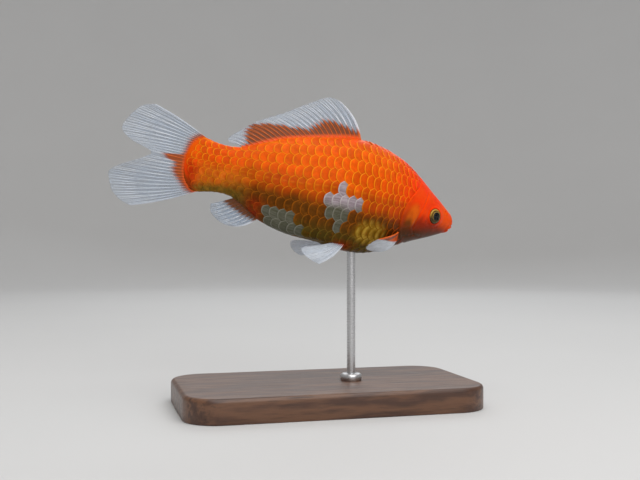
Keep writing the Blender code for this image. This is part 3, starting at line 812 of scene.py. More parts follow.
def build_fin(name, nodes, root, tip, bow, look, centre, rays, steps, glow, film, dark, lead):
    """A rayed fin as one thin closed solid, with this many rays and points along each.

    root and tip give body coordinates for a share of the base, and bow how far a ray's middle
    bows at the first ray and at the last. glow(share, mm, phase) is the body's colour on the
    fin, this many millimetres out. film is how opaque the web between the rays is, dark how
    brown it is in the glow, or a function of the share, and lead how much thicker the first
    and last rays are.
    """
    columns = rays * COLUMNS_PER_RAY + 1
    share, out = np.linspace(0, 1, columns)[:, None], np.linspace(0, 1, steps)[None, :] ** 0.9
    roots, tips = (np.array([line(u) for u in share[:, 0]])[:, None, :] for line in (root, tip))
    bows = (np.array(bow[0]) * (1 - share) + np.array(bow[1]) * share)[:, None, :]
    phase = rays * (share + 0.005 * ripple(share * 9, out * 1.6, 0, len(name)))
    offset = np.abs(phase % 1 - 0.5)
    ridge = bump(np.abs(offset - 0.22 * np.clip((out - 0.25) / 0.60, 0, 1)), 0.13)
    fray = 0.012 * (1 - ridge[:, -1:]) + 0.014 * (1 + ripple(share * rays * 0.8, 0, 0, rays))
    t = (out * (1 - fray))[..., None]
    grid = roots + (tips - roots) * t + 4 * bows * t * (1 - t)
    middle = place(*np.moveaxis(grid, -1, 0))
    normal = np.cross(np.gradient(middle, axis=0), np.gradient(middle, axis=1))
    normal /= np.maximum(np.linalg.norm(normal, axis=-1, keepdims=True), 1e-12)
    swing = 0.28 * out**1.5 * np.sin(share * rays * 0.55 + 1.2 * out + 0.6)
    middle = middle + normal * swing[..., None]
    edge_ray = lead[0] * bump(share, 0.5 / rays) + lead[1] * bump(share - 1, 0.5 / rays)
    half = 0.07 + 0.18 * ridge * (1 - 0.75 * out) + 0.26 * ramp(out, 0.12, 0.0)
    half = (half + 0.30 * edge_ray * (1 - 0.8 * out)) * (1 - 0.75 * ramp(out, 0.965, 1.0))
    half[0] = half[-1] = 0.05
    shift = normal * half[..., None]
    points = np.vstack([(middle + way * shift).reshape(-1, 3) for way in (1, -1)])

    count = columns * steps
    outer = grid_faces(columns, steps)
    rows, ends = np.arange(steps), np.arange(columns) * steps
    rims = np.vstack([
        np.stack([line[:-1], line[1:], line[1:] + count, line[:-1] + count], axis=-1)[:, ::way]
        for line, way in ((rows, 1), (rows + count - steps, -1), (ends, -1), (ends + steps - 1, 1))
    ])
    faces = np.vstack([outer, outer[:, ::-1] + count, rims])
    u, v = (g.ravel() for g in np.meshgrid(share[:, 0], out[0], indexing="ij"))
    sheet = np.stack([0.02 + 0.96 * u, 0.02 + 0.45 * v], axis=-1)
    strip = [[0.001, 0.49], [0.003, 0.49], [0.003, 0.492], [0.001, 0.492]]  # for every rim face
    strip = np.tile(strip, (len(rims), 1))
    places = np.vstack([sheet[outer.ravel()], sheet[outer[:, ::-1].ravel()] + [0, 0.5], strip])

    length = np.linalg.norm((tips - roots) * [BODY_LENGTH, 1, 1], axis=-1) * out
    values = {
        "phase": phase, "out": out, "distance": length, "lead": np.clip(edge_ray, 0, 1),
        "glow": glow(share, length, phase), "film": film,
        "dark": dark(share) if callable(dark) else dark,
    }
    flat = {key: np.tile(np.broadcast_to(v, phase.shape).ravel(), 2) for key, v in values.items()}
    piece = add_mesh(name, to_world(points, centre), faces, look, flat, {"OFBake": places})
    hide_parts(*nodes)


def outline(points):
    """A smooth line through (share of the base, s, left, height)."""
    curves = table_curves(points)
    return lambda share: tuple(float(curve(share)) for curve in curves)


def body_line(first, last, edge, sink):
    """A root line along the back or belly, sunk into the body."""

    def point(share):
        s = first + (last - first) * share
        return s, 0.0, float(edge(s)) - sink

    return point


def skin_line(ends, side, sink):
    """A root line between two points on the skin, sunk under it."""
    (first_s, first_angle), (last_s, last_angle) = ends

    def point(share):
        s = first_s + (last_s - first_s) * share
        left, height = section(s, first_angle + (last_angle - first_angle) * share)
        middle = axis_height(s)
        scale = 1 - sink / math.hypot(left, height - middle)
        return s, side * float(left) * scale, float(middle + (height - middle) * scale)

    return point


def tail_root(share):
    """Where the tail fin's rays start, from the upper corner of the tail base to the lower."""
    start, end = TAIL_ROUNDING
    turn = 0.14 + (math.pi - 0.28) * share
    s = start + (end - start) * math.sin(turn) - 0.012
    middle = float(axis_height(s))
    reach = float(BACK(s)) - middle if turn < math.pi / 2 else middle - float(BELLY(s))
    return s, 0.0, middle + (reach - 0.6) * math.cos(turn)


def tail_tip(share):
    """Where they end, over the upper lobe and then the lower."""
    upper, lower = outline(UPPER_LOBE_TIPS), outline(LOWER_LOBE_TIPS)
    return upper(2 * share) if share < 0.5 else lower(2 - 2 * share)


def paired(points, side, drop):
    """The same outline on one side, its tips drop millimetres lower."""
    return outline([(p[0], p[1], side * p[2], p[3] - drop) for p in points])


# Share of the dorsal fin's base, how many millimetres out the orange reaches there
DORSAL_ORANGE = smooth_curve((
    (0.00, 4.0), (0.08, 4.8), (0.15, 7.4), (0.23, 9.0), (0.32, 7.4), (0.42, 5.4), (0.52, 7.0),
    (0.62, 10.4), (0.72, 12.8), (0.80, 11.0), (0.88, 6.4), (0.94, 2.6), (1.00, 0.2),
))


def comb(phase):
    """1 between the rays and -1 on them."""
    return np.cos(phase * 2 * math.pi)


def dorsal_glow(share, mm, phase):
    """Orange that climbs the dorsal fin from the back in two ragged hills."""
    reach = DORSAL_ORANGE(share) + 0.9 * ripple(phase * 0.7, 0.0, 0.0, 8.0) - 0.8 * comb(phase)
    return np.clip(ramp(mm, reach + 1.6, reach - 1.2) + 0.8 * ramp(mm, 2.2, 1.0), 0, 1)


def tail_glow(share, mm, phase):
    """Orange spikes at the tail fin's root, the longest in the middle, broader under it."""
    uneven = 1.2 * ripple(phase * 0.45, 0.0, 0.0, 4.0) + 0.7 * ripple(phase * 1.1, 0.0, 0.0, 1.0)
    reach = 3.0 + uneven + 7.5 * bump(share - 0.48, 0.035) + 3.0 * bump(share - 0.60, 0.12)
    return ramp(mm, reach + 2.4, reach - 1.6)


def anal_glow(share, mm, phase):
    """Brown at the anal fin's root, wider towards the rear."""
    reach = 2.0 + 3.6 * share + 0.8 * ripple(phase * 0.8, 0.0, 0.0, 3.0) - 0.5 * comb(phase)
    return ramp(mm, reach + 1.6, reach - 1.2)


def pelvic_glow(share, mm, phase):
    """A touch of orange at the pelvic fins' roots."""
    reach = 1.8 * (1 + 0.2 * np.sin(share * 23)) + 0.7 * comb(phase)
    return ramp(mm, reach + 0.6, reach - 0.6)


def pectoral_glow(share, mm, phase):
    """Orange on the upper part of the pectoral fin, and narrower further out."""
    reach = 1.6 + 20.5 * (1 - share) ** 1.7 + 0.5 * comb(phase)
    return ramp(mm, reach + 0.9, reach - 0.9)


def pectoral_dark(share):
    """A dark streak between the pectoral fin's upper rays."""
    return bump(share - 0.20, 0.10)


def build_fins(look, centre):
    build_fin(
        "dorsal_fin_looks", ["dorsal_fin"], body_line(0.444, 0.832, BACK, 1.0),
        outline(DORSAL_TIPS), ((-0.014, 0, 1.4), (0, 0, 0.7)), look, centre, 26, 44,
        dorsal_glow, film=0.30, dark=0.9, lead=(1.3, 0),
    )
    build_fin(
        "anal_fin_looks", ["anal_fin"], body_line(0.741, 0.828, BELLY, -1.0),
        outline(ANAL_TIPS), ((-0.006, 0, -0.8), (0, 0, -0.2)), look, centre, 9, 36,
        anal_glow, film=0.48, dark=1.4, lead=(1.0, 0),
    )
    build_fin(
        "caudal_fin_looks", ["caudal_fin_upper", "caudal_fin_lower"], tail_root,
        tail_tip, ((0, 0.3, 0.9), (0, 0.3, -0.9)), look, centre, 28, 60,
        tail_glow, film=0.32, dark=0.7, lead=(0.8, 0.8),
    )
    for side, word, drop in ((1, "left", -1.6), (-1, "right", 1.2)):
        build_fin(
            f"pelvic_fin_{word}_looks", [f"pelvic_fin_{word}"], skin_line(PELVIC_ROOT, side, 1.5),
            paired(PELVIC_TIPS, side, drop), ((-0.004, side * 0.6, -0.8), (0, 0, -0.3)),
            look, centre, 9, 36, pelvic_glow, film=0.74, dark=1.0, lead=(0.8, 0),
        )
        bow = (-0.004, side * 2.0, 0.4), (-0.012, side * 0.9, -1.2)
        build_fin(
            f"pectoral_fin_{word}_looks", [f"pectoral_fin_{word}"],
            skin_line(PECTORAL_ROOT, side, 1.0), paired(PECTORAL_TIPS, side, 0), bow,
            look, centre, 13, 36, pectoral_glow, film=0.88, dark=pectoral_dark, lead=(0.8, 0),
        )


# Eyes


def turned(name, profile, look, place_of, segments, values=None):
    """A solid turned round its own axis from (radius, height) pairs.

    The profile starts and ends on the axis. place_of turns local points into world metres.
    """
    ends = [(0, 0, profile[0][1]), (0, 0, profile[-1][1])]
    local = np.vstack([*ring_points(profile[1:-1], segments), ends])
    faces = ring_faces(len(profile) - 2, segments)
    numbers = {key: make(local) for key, make in (values or {}).items()}
    return add_mesh(name, place_of(local), faces, look, numbers)


def arc(radius, low, high, steps):
    """(radius, height) pairs of a flattened dome, from its rim to its top."""
    turns = np.linspace(0, math.pi / 2, steps)
    return [(radius * math.cos(t), low + (high - low) * math.sin(t)) for t in turns]


def build_eyes(looks, centre):
    """An iris round a bulging lens in the pupil, under a clear dome."""
    ball = [(0, -2.0), (2.0, -1.9), (3.0, -1.3), (3.28, -0.7), (3.28, -0.35), (3.20, -0.1)]
    ball.append((3.08, 0.08))
    iris = [(3.02 - 0.085 * k, 0.12 + 0.26 * math.sin(k * math.pi / 28)) for k in range(14)]
    pupil_edge = [(1.86, 0.30), (1.82, 0.24)]
    profile = ball + iris + pupil_edge + arc(1.80, 0.24, 0.86, 12)
    dome = [(0, -0.2), (3.05, -0.2)] + arc(3.22, -0.12, 1.15, 16)
    for side, word in ((1, "left"), (-1, "right")):
        sideways = place(EYE_S, side, 0) - place(EYE_S, 0, 0)
        axis = sideways + surface_normal(EYE_S, side * EYE_ANGLE)
        axis /= np.linalg.norm(axis)
        up = np.array([0.0, 0.0, 1.0]) - axis * axis[2]
        up /= np.linalg.norm(up)
        frame = np.stack([np.cross(axis, up) * side, up, axis])  # the first is towards the nose
        middle = surface(EYE_S, side * EYE_ANGLE) + 0.14 * axis

        def straight(local, frame=frame, middle=middle):
            return to_world(local @ frame + middle, centre)

        def looking_ahead(local, straight=straight):
            """The pupil and the iris round it set a little towards the nose."""
            shift = 0.55 * ramp(np.hypot(local[:, 0], local[:, 1]), 3.0, 1.8) * (local[:, 2] > 0)
            return straight(local + shift[:, None] * [1, 0, 0])

        numbers = {
            "radius": lambda p: np.hypot(p[:, 0], p[:, 1]) / EYE_RADIUS,
            "turn": lambda p: np.abs(np.arctan2(p[:, 1], p[:, 0])) / (2 * math.pi),
            "above": lambda p: (p[:, 1] - 0.55 * p[:, 0]) / EYE_RADIUS / 1.1,
        }
        ball_piece = turned(f"eye_{word}_looks", profile, looks["eye"], looking_ahead, 96, numbers)
        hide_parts(f"eye_{word}")
        cornea = turned(f"cornea_{word}", dome, looks["cornea"], straight, 72)


# Stand


def rounded_outline(width, depth, corner, arc_steps=14):
    """Points of a rectangle with round corners, anticlockwise."""
    points = []
    for quarter, (sx, sy) in enumerate(((1, 1), (-1, 1), (-1, -1), (1, -1))):
        for k in range(arc_steps + 1):
            turn = math.radians(90 * (quarter + k / arc_steps))
            points.append((
                sx * (width / 2 - corner) + corner * math.cos(turn),
                sy * (depth / 2 - corner) + corner * math.sin(turn),
            ))
    return np.array(points)


BASE_BEVEL, BASE_CORNER = 1.8, 14.0
ROD_INTO = 1.6  # how far the rod goes on above the CAD rod, into the belly
SHARP = math.radians(35)  # the angle that an edge is drawn sharp from


def build_stand(looks):
    """The base with a softened top edge, the rod up into the belly and its collar."""
    low, high = (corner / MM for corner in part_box("stand_base"))
    width, depth, top = high.x - low.x, high.y - low.y, high.z
    levels = [(0.5, 0.0), (0.15, 0.15), (0.0, 0.5), (0.0, top - BASE_BEVEL)]
    edge = arc(BASE_BEVEL, top - BASE_BEVEL, top, 9)[1:]
    levels += [(BASE_BEVEL - out, z) for out, z in edge] + [(4.0, top), (9.0, top)]
    rings = []
    for inset, z in levels:
        corner = max(BASE_CORNER - inset, 2.0)
        flat = rounded_outline(width - 2 * inset, depth - 2 * inset, corner)
        rings.append(np.column_stack([flat, np.full(len(flat), z)]))
    points = np.vstack([*rings, [(0, 0, 0), (0, 0, top)]]) * MM
    faces = ring_faces(len(rings), len(rings[0]))
    base = add_mesh("stand_base_looks", points, faces, looks["wood"])
    base.data.set_sharp_from_angle(angle=SHARP)
    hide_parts("stand_base")

    rod_low, rod_high = (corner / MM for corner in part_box("stand_rod"))
    axis = ((rod_low.x + rod_high.x) / 2, (rod_low.y + rod_high.y) / 2)
    radius = (rod_high.x - rod_low.x) / 2

    def on_axis(local):
        return (local + np.array([axis[0], axis[1], 0.0])) * MM

    foot, head = rod_low.z, rod_high.z + ROD_INTO
    profile = [(0, foot), (radius, foot), (radius, rod_high.z), (radius, head), (0, head)]
    rod = turned("stand_rod_looks", profile, looks["steel"], on_axis, 48)
    rod.data.set_sharp_from_angle(angle=SHARP)
    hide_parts("stand_rod")
    ring_low, ring_high = (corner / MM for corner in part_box("stand_collar"))
    outer, foot, head = (ring_high.x - ring_low.x) / 2, top - 0.05, ring_high.z
    profile = [
        (0, foot), (outer - 0.2, foot), (outer, foot + 0.25), (outer, head - 0.9),
        (outer - 0.25, head - 0.45), (outer - 0.9, head - 0.1), (outer - 1.4, head),
        (radius + 0.25, head), (radius + 0.02, head - 0.3), (0, head - 0.3),
    ]
    collar = turned("stand_collar_looks", profile, looks["steel"], on_axis, 64)
    collar.data.set_sharp_from_angle(angle=math.radians(50))
    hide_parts("stand_collar")


# Materials


class Value:
    """What a node gives, with arithmetic that adds nodes."""

    def __init__(self, look, socket):
        self.look, self.socket = look, socket

    def __add__(self, other):
        return self.look.math("ADD", self, other)

    def __sub__(self, other):
        return self.look.math("SUBTRACT", self, other)

    def __rsub__(self, other):
        return self.look.math("SUBTRACT", other, self)

    def __mul__(self, other):
        return self.look.math("MULTIPLY", self, other)

    def spread(self, low, high, to_low=0.0, to_high=1.0):
        """From to_low at low to to_high at high, and level past both; low may be the larger."""
        inputs = {0: self, 1: low, 2: high, 3: to_low, 4: to_high}
        return self.look.node("ShaderNodeMapRange", inputs)


class Look:
    """A Principled material and short ways to add nodes to it."""

    def __init__(self, name, **sockets):
        self.material = bpy.data.materials.new(name)
        self.material.use_nodes = True
        self.tree = self.material.node_tree
        self.shader = self.tree.nodes["Principled BSDF"]
        self.finish(**sockets)

    def finish(self, **sockets):
        """Feeds the shader's sockets, with _ for the spaces in their names."""
        for key, value in sockets.items():
            self.feed(self.shader.inputs[key.replace("_", " ")], value)
        return self.material

    def feed(self, socket, value):
        if isinstance(value, Value):
            self.tree.links.new(value.socket, socket)
        else:
            bare = socket.type == "RGBA" and len(value) == 3
            socket.default_value = (*value, 1.0) if bare else value

    def node(self, kind, inputs=None, output=0, **settings):
        made = self.tree.nodes.new(kind)
        for key, value in settings.items():
            setattr(made, key, value)
        for key, value in (inputs or {}).items():
            self.feed(made.inputs[key], value)
        return Value(self, made.outputs[output])

    def number(self, name):
        return self.node("ShaderNodeAttribute", None, "Fac", attribute_name=name)

    def math(self, operation, a, b=0.0):
        return self.node("ShaderNodeMath", {0: a, 1: b}, operation=operation)

    def vector(self, x, y, z=0.0):
        return self.node("ShaderNodeCombineXYZ", {0: x, 1: y, 2: z})

    def mix(self, share, a, b, blend="MIX"):
        inputs = {"Factor": share, 6: a, 7: b}
        return self.node("ShaderNodeMix", inputs, 2, data_type="RGBA", blend_type=blend)

    def layers(self, colour, *coats):
        """The colour under coats of (share, colour), the last on top."""
        for share, coat in coats:
            colour = self.mix(share, colour, coat)
        return colour

    def coordinates(self, scale=None):
        """The piece's own coordinates, or those stretched by a scale for each axis."""
        at = self.node("ShaderNodeTexCoord", None, "Object")
        return self.node("ShaderNodeMapping", {"Vector": at, "Scale": scale}) if scale else at

    def noise(self, scale, detail=3.0, at=None, roughness=0.5):
        at = at or self.coordinates()
        inputs = {"Vector": at, "Scale": scale, "Detail": detail, "Roughness": roughness}
        return self.node("ShaderNodeTexNoise", inputs, "Fac")

    def bumped(self, height, distance, strength=1.0, **under):
        inputs = {"Height": height, "Distance": distance, "Strength": strength, **under}
        return self.node("ShaderNodeBump", inputs, "Normal")


# Colours are linear red, green and blue
ORANGE, LIGHT_ORANGE = (0.71, 0.073, 0.002), (0.76, 0.105, 0.003)
RED_ORANGE = (0.87, 0.038, 0.002)
DARK_RED = (0.23, 0.014, 0.002)
BROWN = (0.076, 0.030, 0.003)
RED_BROWN = (0.050, 0.018, 0.004)
SAGE = (0.070, 0.048, 0.006)
OLD_GOLD = (0.34, 0.175, 0.009)
GILL_GOLD, GILL_OLIVE = (0.70, 0.120, 0.003), (0.155, 0.042, 0.003)
# A white greyed by painted shade
PEARL = (0.34, 0.30, 0.35)
BODY_GLOSS = {
    "Specular_IOR_Level": 0.12, "Specular_Tint": (1.0, 0.50, 0.12),
    "Coat_Weight": 0.03, "Coat_Roughness": 0.12,
}


def body_colour(look):
    """The markings, with painted shade and glow among them, that the skin and the scales share,
    from the numbers on their points.
    """
    number = look.number
    brown_and_shade = number("brown_and_shade")
    return look.layers(
        look.mix(look.noise(55.0, 4.0).spread(0.35, 0.65), ORANGE, LIGHT_ORANGE),
        # Red on the head and the tail base, and a painted glow along the back's ridge
        (number("red_and_glow"), RED_ORANGE),
        # Brown on the lower flank, partly painted shade
        (brown_and_shade * 0.95, BROWN),
        (number("sage") * 0.85, SAGE),
        (number("gold") * 0.75, OLD_GOLD),
        # Dark red painted shade on the underside
        (number("red_shade") * 0.90, DARK_RED),
        # The gill cover's gold, partly a painted sheen, turning olive where the painted shade sets
        # in
        (number("olive") * 0.85, look.mix(brown_and_shade.spread(0.28, 0.75), GILL_GOLD, GILL_OLIVE)),
        # Red brown painted shade under the head
        (number("throat") * 0.97, RED_BROWN),
    )


def skin_look():
    """The bare skin, a little cloudy, blotched and speckled."""
    look = Look(
        "skin", **BODY_GLOSS, Subsurface_Weight=0.08, Subsurface_Scale=0.5,
        Subsurface_Radius=(0.003, 0.0008, 0.0004),
    )
    number, noise = look.number, look.noise
    # The blotches stay off the painted shade under the body and the head
    lit = 1.0 - look.math("MAXIMUM", number("red_shade"), number("throat"))
    colour = look.layers(
        body_colour(look),
        (noise(150.0, 5.0).spread(0.40, 0.72) * (lit * 0.42), (0.88, 0.130, 0.004)),
        (noise(330.0, 4.0, roughness=0.6).spread(0.52, 0.74) * 0.35, (0.42, 0.030, 0.002)),
        (noise(1100.0, 2.0).spread(0.60, 0.76) * 0.18, (0.50, 0.06, 0.004)),
        # The white patches, greyed by painted shade
        (number("white"), PEARL),
    )
    fine = look.bumped(noise(1100.0, 3.0), 0.00012, 0.35)
    normal = look.bumped(noise(210.0, 2.0), 0.0005, 0.22, Normal=fine)
    rough = noise(140.0, 2.0).spread(0.3, 0.7, 0.36, 0.50)
    return look.finish(Base_Color=colour, Normal=normal, Roughness=rough)


def scale_look():
    """Scales with a light free edge, darker towards the scale ahead."""
    look = Look("scales", **BODY_GLOSS)
    number, mix = look.number, look.mix
    edge, brown_and_shade, gold, tone, pore = (number(n) for n in ("edge", "brown_and_shade", "gold", "tone", "pore"))
    grain = look.noise(420.0, 5.0, roughness=0.65)
    grey = tone.spread(-1.0, 1.0, 0.84, 1.12) * grain.spread(0.30, 0.70, 0.80, 1.20)
    grey = look.node("ShaderNodeCombineColor", {0: grey, 1: grey, 2: grey})
    shadow = mix(brown_and_shade, (0.62, 0.040, 0.001), (0.060, 0.018, 0.002))
    shadow = mix(number("sage"), shadow, (0.050, 0.034, 0.004))
    fleck = look.noise(620.0, 4.0).spread(0.52, 0.76) * brown_and_shade
    # A painted highlight in the middle of each golden scale
    gold_highlight = edge.spread(0.35, 0.9) * edge.spread(2.4, 1.2) * gold * grain.spread(0.32, 0.62)
    rim = edge.spread(0.60, 0.20)
    # The pale free edges, dimmed where the body carries painted shade
    pale = look.layers(
        mix(brown_and_shade, (0.94, 0.305, 0.007), (0.33, 0.090, 0.005)),
        (number("sage"), (0.150, 0.110, 0.016)),
        (gold * 0.80, (0.19, 0.095, 0.006)),
        (number("red_and_glow") * 0.75, (0.95, 0.120, 0.004)),
        (number("red_shade") * 0.8, (0.42, 0.030, 0.003)),
    )
    fan = look.vector(number("across") * 7.0, number("along"), tone * 9.0)
    lit = tone.spread(-1.0, 1.0, 0.4, 1.0) * look.noise(1.0, 4.0, fan, 0.7).spread(0.40, 0.66)
    # The white scales in greys that are partly painted shade, and a darker shaded copy of them low
    # on the body
    pearl = mix(rim, mix(lit, (0.23, 0.19, 0.22), (0.50, 0.45, 0.49)), (0.50, 0.46, 0.48))
    shaded_pearl = mix(lit, (0.070, 0.075, 0.050), (0.150, 0.155, 0.125))
    shaded_pearl = mix(rim, shaded_pearl, (0.20, 0.205, 0.165))
    colour = look.layers(
        mix(1.0, body_colour(look), grey, "MULTIPLY"),
        (edge.spread(1.1, 3.3) * 0.55, shadow),
        (fleck * 0.5, (0.30, 0.085, 0.005)),
        (gold_highlight * 0.60, (0.62, 0.42, 0.065)),
        (rim * 0.80, pale),
        (pore * 0.3, pale),
        (number("white") * 0.96, mix(brown_and_shade.spread(0.45, 0.95), pearl, shaded_pearl)),
    )
    rings = look.math("SINE", number("along") * 260.0)
    radii = look.math("SINE", number("across") * 42.0)
    normal = look.bumped(rings * 0.2 + radii * 0.3 + grain + pore * 4.0, 0.00006, 0.6)
    rough = look.noise(260.0, 3.0).spread(0.3, 0.7, 0.34, 0.50)
    return look.finish(Base_Color=colour, Normal=normal, Roughness=rough)


def fin_look():
    """Rays that fork twice, in a clear web; the numbers on the points say where they run."""
    look = Look("fins", Specular_IOR_Level=0.22, Coat_Weight=0.06, Coat_Roughness=0.25)
    number, math_, mix = look.number, look.math, look.mix
    phase, out, glow, dark, mm = (number(n) for n in ("phase", "out", "glow", "dark", "distance"))
    offset = math_("ABSOLUTE", math_("FRACT", phase) - 0.5)
    fork = math_("ABSOLUTE", offset - out.spread(0.25, 0.85, 0.0, 0.22))
    twig = math_("ABSOLUTE", fork - out.spread(0.65, 1.0, 0.0, 0.10))
    ray = math_("DIVIDE", twig, out.spread(0.05, 0.90, 0.115, 0.040))
    ray = math_("MAXIMUM", ray.spread(0.30, 1.30, 1.0, 0.0), number("lead"))
    each = {"W": math_("FLOOR", phase)}
    each = look.node("ShaderNodeTexWhiteNoise", each, "Value", noise_dimensions="1D")
    streak = look.noise(1.0, 4.0, look.vector(phase * 0.8, out * 7.0), 0.6)
    # The blue tint of the web and the rays is painted light: blue light shining through them
    film = mix(streak.spread(0.32, 0.68), (0.20, 0.27, 0.37), (0.33, 0.41, 0.53))
    film = mix(number("film").spread(0.5, 0.9), film, (0.74, 0.78, 0.84))
    bone = mix(each, (0.64, 0.69, 0.77), (0.86, 0.89, 0.94))
    bone = mix(streak.spread(0.40, 0.70, 0.0, 0.35), bone, (0.42, 0.48, 0.57))
    web = look.layers(
        mix(dark, (0.78, 0.115, 0.004), (0.088, 0.042, 0.019)),
        (streak.spread(0.35, 0.72, 0.0, 0.35), (0.40, 0.060, 0.006)),
        (mm.spread(2.6, 1.1) * dark.spread(1.3, 1.0), (0.80, 0.085, 0.002)),
    )
    rays = mix(dark, (0.86, 0.14, 0.005), (0.64, 0.130, 0.014))
    rays = mix(dark.spread(1.0, 1.3), rays, (0.19, 0.060, 0.012))
    colour = mix(glow, mix(ray, film, bone), mix(ray, web, rays))
    clear = number("film") * streak.spread(0.30, 0.70, 0.78, 1.22)
    clear = clear * out.spread(0.45, 1.0, 1.0, 0.68)
    alpha = {"Factor": ray, "A": clear, "B": out.spread(0.2, 1.0, 0.96, 0.74)}
    alpha = look.node("ShaderNodeMix", alpha, "Result")
    alpha = math_("MAXIMUM", alpha, glow * mm.spread(2.0, 6.0, 1.0, 0.93))
    joints = math_("SINE", mm * 14.0)
    normal = look.bumped((joints * 0.07 + 1.0) * ray + streak * 0.6, 0.00012, 0.7)
    rough = streak.spread(0.3, 0.7, 0.36, 0.50)
    return look.finish(Base_Color=colour, Normal=normal, Alpha=alpha, Roughness=rough)


def eye_look():
    """A black pupil in a thin gold ring, and a bronze iris, gold above and behind, grey below."""
    look = Look("eye", Specular_IOR_Level=0.12, Coat_Weight=0.08, Coat_Roughness=0.03)
    radius, above = look.number("radius"), look.number("above")
    streaks = look.noise(1.0, 4.0, look.vector(look.number("turn") * 46.0, radius * 5.0), 0.65)
    grey = radius.spread(0.70, 0.86) * above.spread(0.0, -0.7)
    # The gold above and behind, and the ring round the pupil brightening upwards, are partly a
    # painted highlight
    gold = radius.spread(0.72, 0.84) * above.spread(0.0, 0.60)
    ring = radius.spread(0.56, 0.58) * radius.spread(0.69, 0.60)
    colour = look.layers(
        look.mix(streaks.spread(0.35, 0.68), (0.018, 0.010, 0.003), (0.100, 0.050, 0.009)),
        (grey * 0.70, (0.085, 0.088, 0.042)),
        (gold * 0.95, look.mix(streaks, (0.45, 0.20, 0.015), (1.0, 0.60, 0.080))),
        (ring * above.spread(-0.5, 0.4, 0.10, 0.85), (0.75, 0.46, 0.10)),
        (radius.spread(0.90, 0.97), (0.050, 0.012, 0.003)),
        (radius.spread(0.562, 0.550), (0.002, 0.002, 0.003)),
    )
    metal = radius.spread(0.55, 0.57) * radius.spread(0.93, 0.88, 0.0, 0.15)
    normal = look.bumped(streaks * radius.spread(0.58, 0.64), 0.00010, 0.5)
    rough = radius.spread(0.55, 0.57, 0.06, 0.30)
    return look.finish(Base_Color=colour, Metallic=metal, Normal=normal, Roughness=rough)


def cornea_look():
    look = Look("cornea", Roughness=0.03, Alpha=0.10, Coat_Weight=1.0, Coat_Roughness=0.02)
    tint = look.mix(look.noise(200.0, 1.0), (0.010, 0.010, 0.012), (0.030, 0.028, 0.026))
    return look.finish(Base_Color=tint)


def wood_look():
    look = Look("wood", Coat_Weight=0.25, Coat_Roughness=0.25)
    warp = look.noise(1.0, 5.0, look.coordinates((9.0, 90.0, 60.0)), 0.6)
    pores = look.noise(1.0, 3.0, look.coordinates((60.0, 1500.0, 900.0)), 0.7)
    grain = look.math("SINE", warp * 38.0).spread(-1.0, 1.0)
    colour = look.mix(grain, (0.060, 0.022, 0.010), (0.135, 0.058, 0.026))
    colour = look.mix(pores.spread(0.56, 0.72, 0.0, 0.6), colour, (0.018, 0.008, 0.004))
    normal = look.bumped(grain * 0.25 + pores * -0.8, 0.00012, 0.5)
    rough = pores.spread(0.3, 0.7, 0.34, 0.52)
    return look.finish(Base_Color=colour, Normal=normal, Roughness=rough)


def steel_look():
    look = Look("steel", Metallic=1.0)
    brush = look.noise(1.0, 2.0, look.coordinates((300.0, 300.0, 5000.0)))
    colour = look.mix(brush, (0.50, 0.50, 0.51), (0.66, 0.66, 0.67))
    rough = brush.spread(0.3, 0.7, 0.24, 0.36)
    return look.finish(Base_Color=colour, Normal=look.bumped(brush, 0.00003, 0.5), Roughness=rough)


def floor_look():
    look = Look("studio_floor", Roughness=0.8, Specular_IOR_Level=0.2)
    colour = look.mix(look.noise(3.0, 3.0), (0.58, 0.585, 0.59), (0.63, 0.635, 0.64))
    normal = look.bumped(look.noise(900.0, 3.0), 0.0002, 0.15)
    return look.finish(Base_Color=colour, Normal=normal)


# Stage

CAMERA_TURN = 15.0  # degrees that the camera looks towards the fish's head
CAMERA_DISTANCE = 380.0  # level, from the fish's centre
CAMERA_SHIFT = (12.24, 18.95)  # the fish's centre stands this far right of and above the view's
CAMERA_LENS, CAMERA_SENSOR = 50.8, 36.0


def build_camera(centre):
    turn = math.radians(CAMERA_TURN)
    right = Vector((math.cos(turn), -math.sin(turn), 0))
    ahead = Vector((math.sin(turn), math.cos(turn), 0))
    data = bpy.data.cameras.new("camera")
    data.lens, data.sensor_width = CAMERA_LENS, CAMERA_SENSOR
    data.clip_start = 0.01
    camera = link("camera", data)
    spot = Vector(centre) - CAMERA_SHIFT[0] * right - Vector((0, 0, CAMERA_SHIFT[1]))
    camera.location = (spot - CAMERA_DISTANCE * ahead) * MM
    camera.rotation_euler = Euler((math.pi / 2, 0, -turn))
    bpy.context.scene.camera = camera


def area_light(name, place_at, size, power, colour):
    data = bpy.data.lights.new(name, "AREA")
    data.shape = "RECTANGLE"
    data.size, data.size_y = size
    data.energy, data.color = power, colour
    lamp = link(name, data)
    lamp.location = place_at
    lamp.rotation_euler = (Vector(LIGHT_AIM) - Vector(place_at)).to_track_quat("-Z", "Y").to_euler()


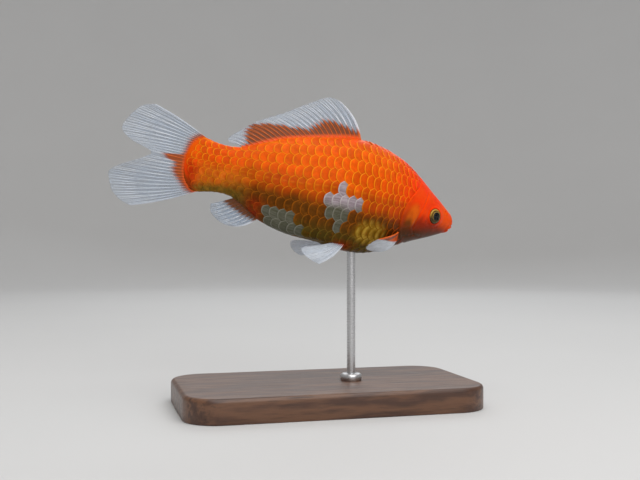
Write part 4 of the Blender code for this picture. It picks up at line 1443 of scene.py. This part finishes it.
FLOOR_RADIUS, SWEEP, WALL_TOP = 0.95, 0.65, 1.25  # metres
FLOOR_SEGMENTS, SWEEP_STEPS = 72, 14
LIGHT_AIM = (0.0, 0.0, 0.08)
LIGHTS = (  # name, place and size in metres, watts, colour
    ("overhead", (0.05, -0.25, 0.80), (0.8, 0.6), 3.6, (1.0, 0.99, 0.97)),
    ("front", (0.05, -0.90, 0.50), (0.9, 0.6), 4.0, (1.0, 0.99, 0.98)),
    ("back", (0.30, 0.75, 0.60), (0.8, 0.5), 2.0, (0.94, 0.97, 1.0)),
)
AMBIENT_COLOUR, AMBIENT = (1.0, 0.97, 0.94, 1), 0.58


def build_stage():
    """A pale sweep of floor and backdrop all round, and soft lights."""
    turns = np.linspace(0, math.pi / 2, SWEEP_STEPS)
    profile = [(FLOOR_RADIUS + SWEEP * math.sin(t), SWEEP - SWEEP * math.cos(t)) for t in turns]
    profile.append((FLOOR_RADIUS + SWEEP, WALL_TOP))
    rings = ring_points(profile, FLOOR_SEGMENTS)
    faces = [(0, 1 + j, 1 + (j + 1) % FLOOR_SEGMENTS) for j in range(FLOOR_SEGMENTS)]
    faces += grid_faces(len(rings), FLOOR_SEGMENTS, closed=True, start=1)[:, ::-1].tolist()
    mesh = bpy.data.meshes.new("floor")
    mesh.from_pydata(np.vstack([[(0, 0, 0)]] + rings).tolist(), [], faces)
    mesh.shade_smooth()
    mesh.materials.append(floor_look())
    floor = link("floor", mesh)
    floor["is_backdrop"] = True
    for light in LIGHTS:
        area_light(*light)
    world = bpy.data.worlds.new("studio")
    world.use_nodes = True
    background = world.node_tree.nodes["Background"]
    background.inputs["Color"].default_value = AMBIENT_COLOUR
    background.inputs["Strength"].default_value = AMBIENT
    bpy.context.scene.world = world
    bpy.context.scene.view_settings.view_transform = "Standard"


def write_sizes(before):
    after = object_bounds()
    boxes = [[list(map(float, corner)) for corner in box] for box in (before, after)]
    '{"cad": %s, "visual": %s}' % tuple(boxes)


def main():
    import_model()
    cad_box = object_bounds()
    centre = fish_centre()
    build_camera(centre)
    looks = {
        "skin": skin_look(), "scales": scale_look(), "fin": fin_look(), "eye": eye_look(),
        "cornea": cornea_look(), "wood": wood_look(), "steel": steel_look(),
    }
    build_skin(looks["skin"], centre)
    build_scales(looks["scales"], centre)
    build_fins(looks["fin"], centre)
    build_eyes(looks, centre)
    build_stand(looks)
    build_stage()
    write_sizes(cad_box)


main()
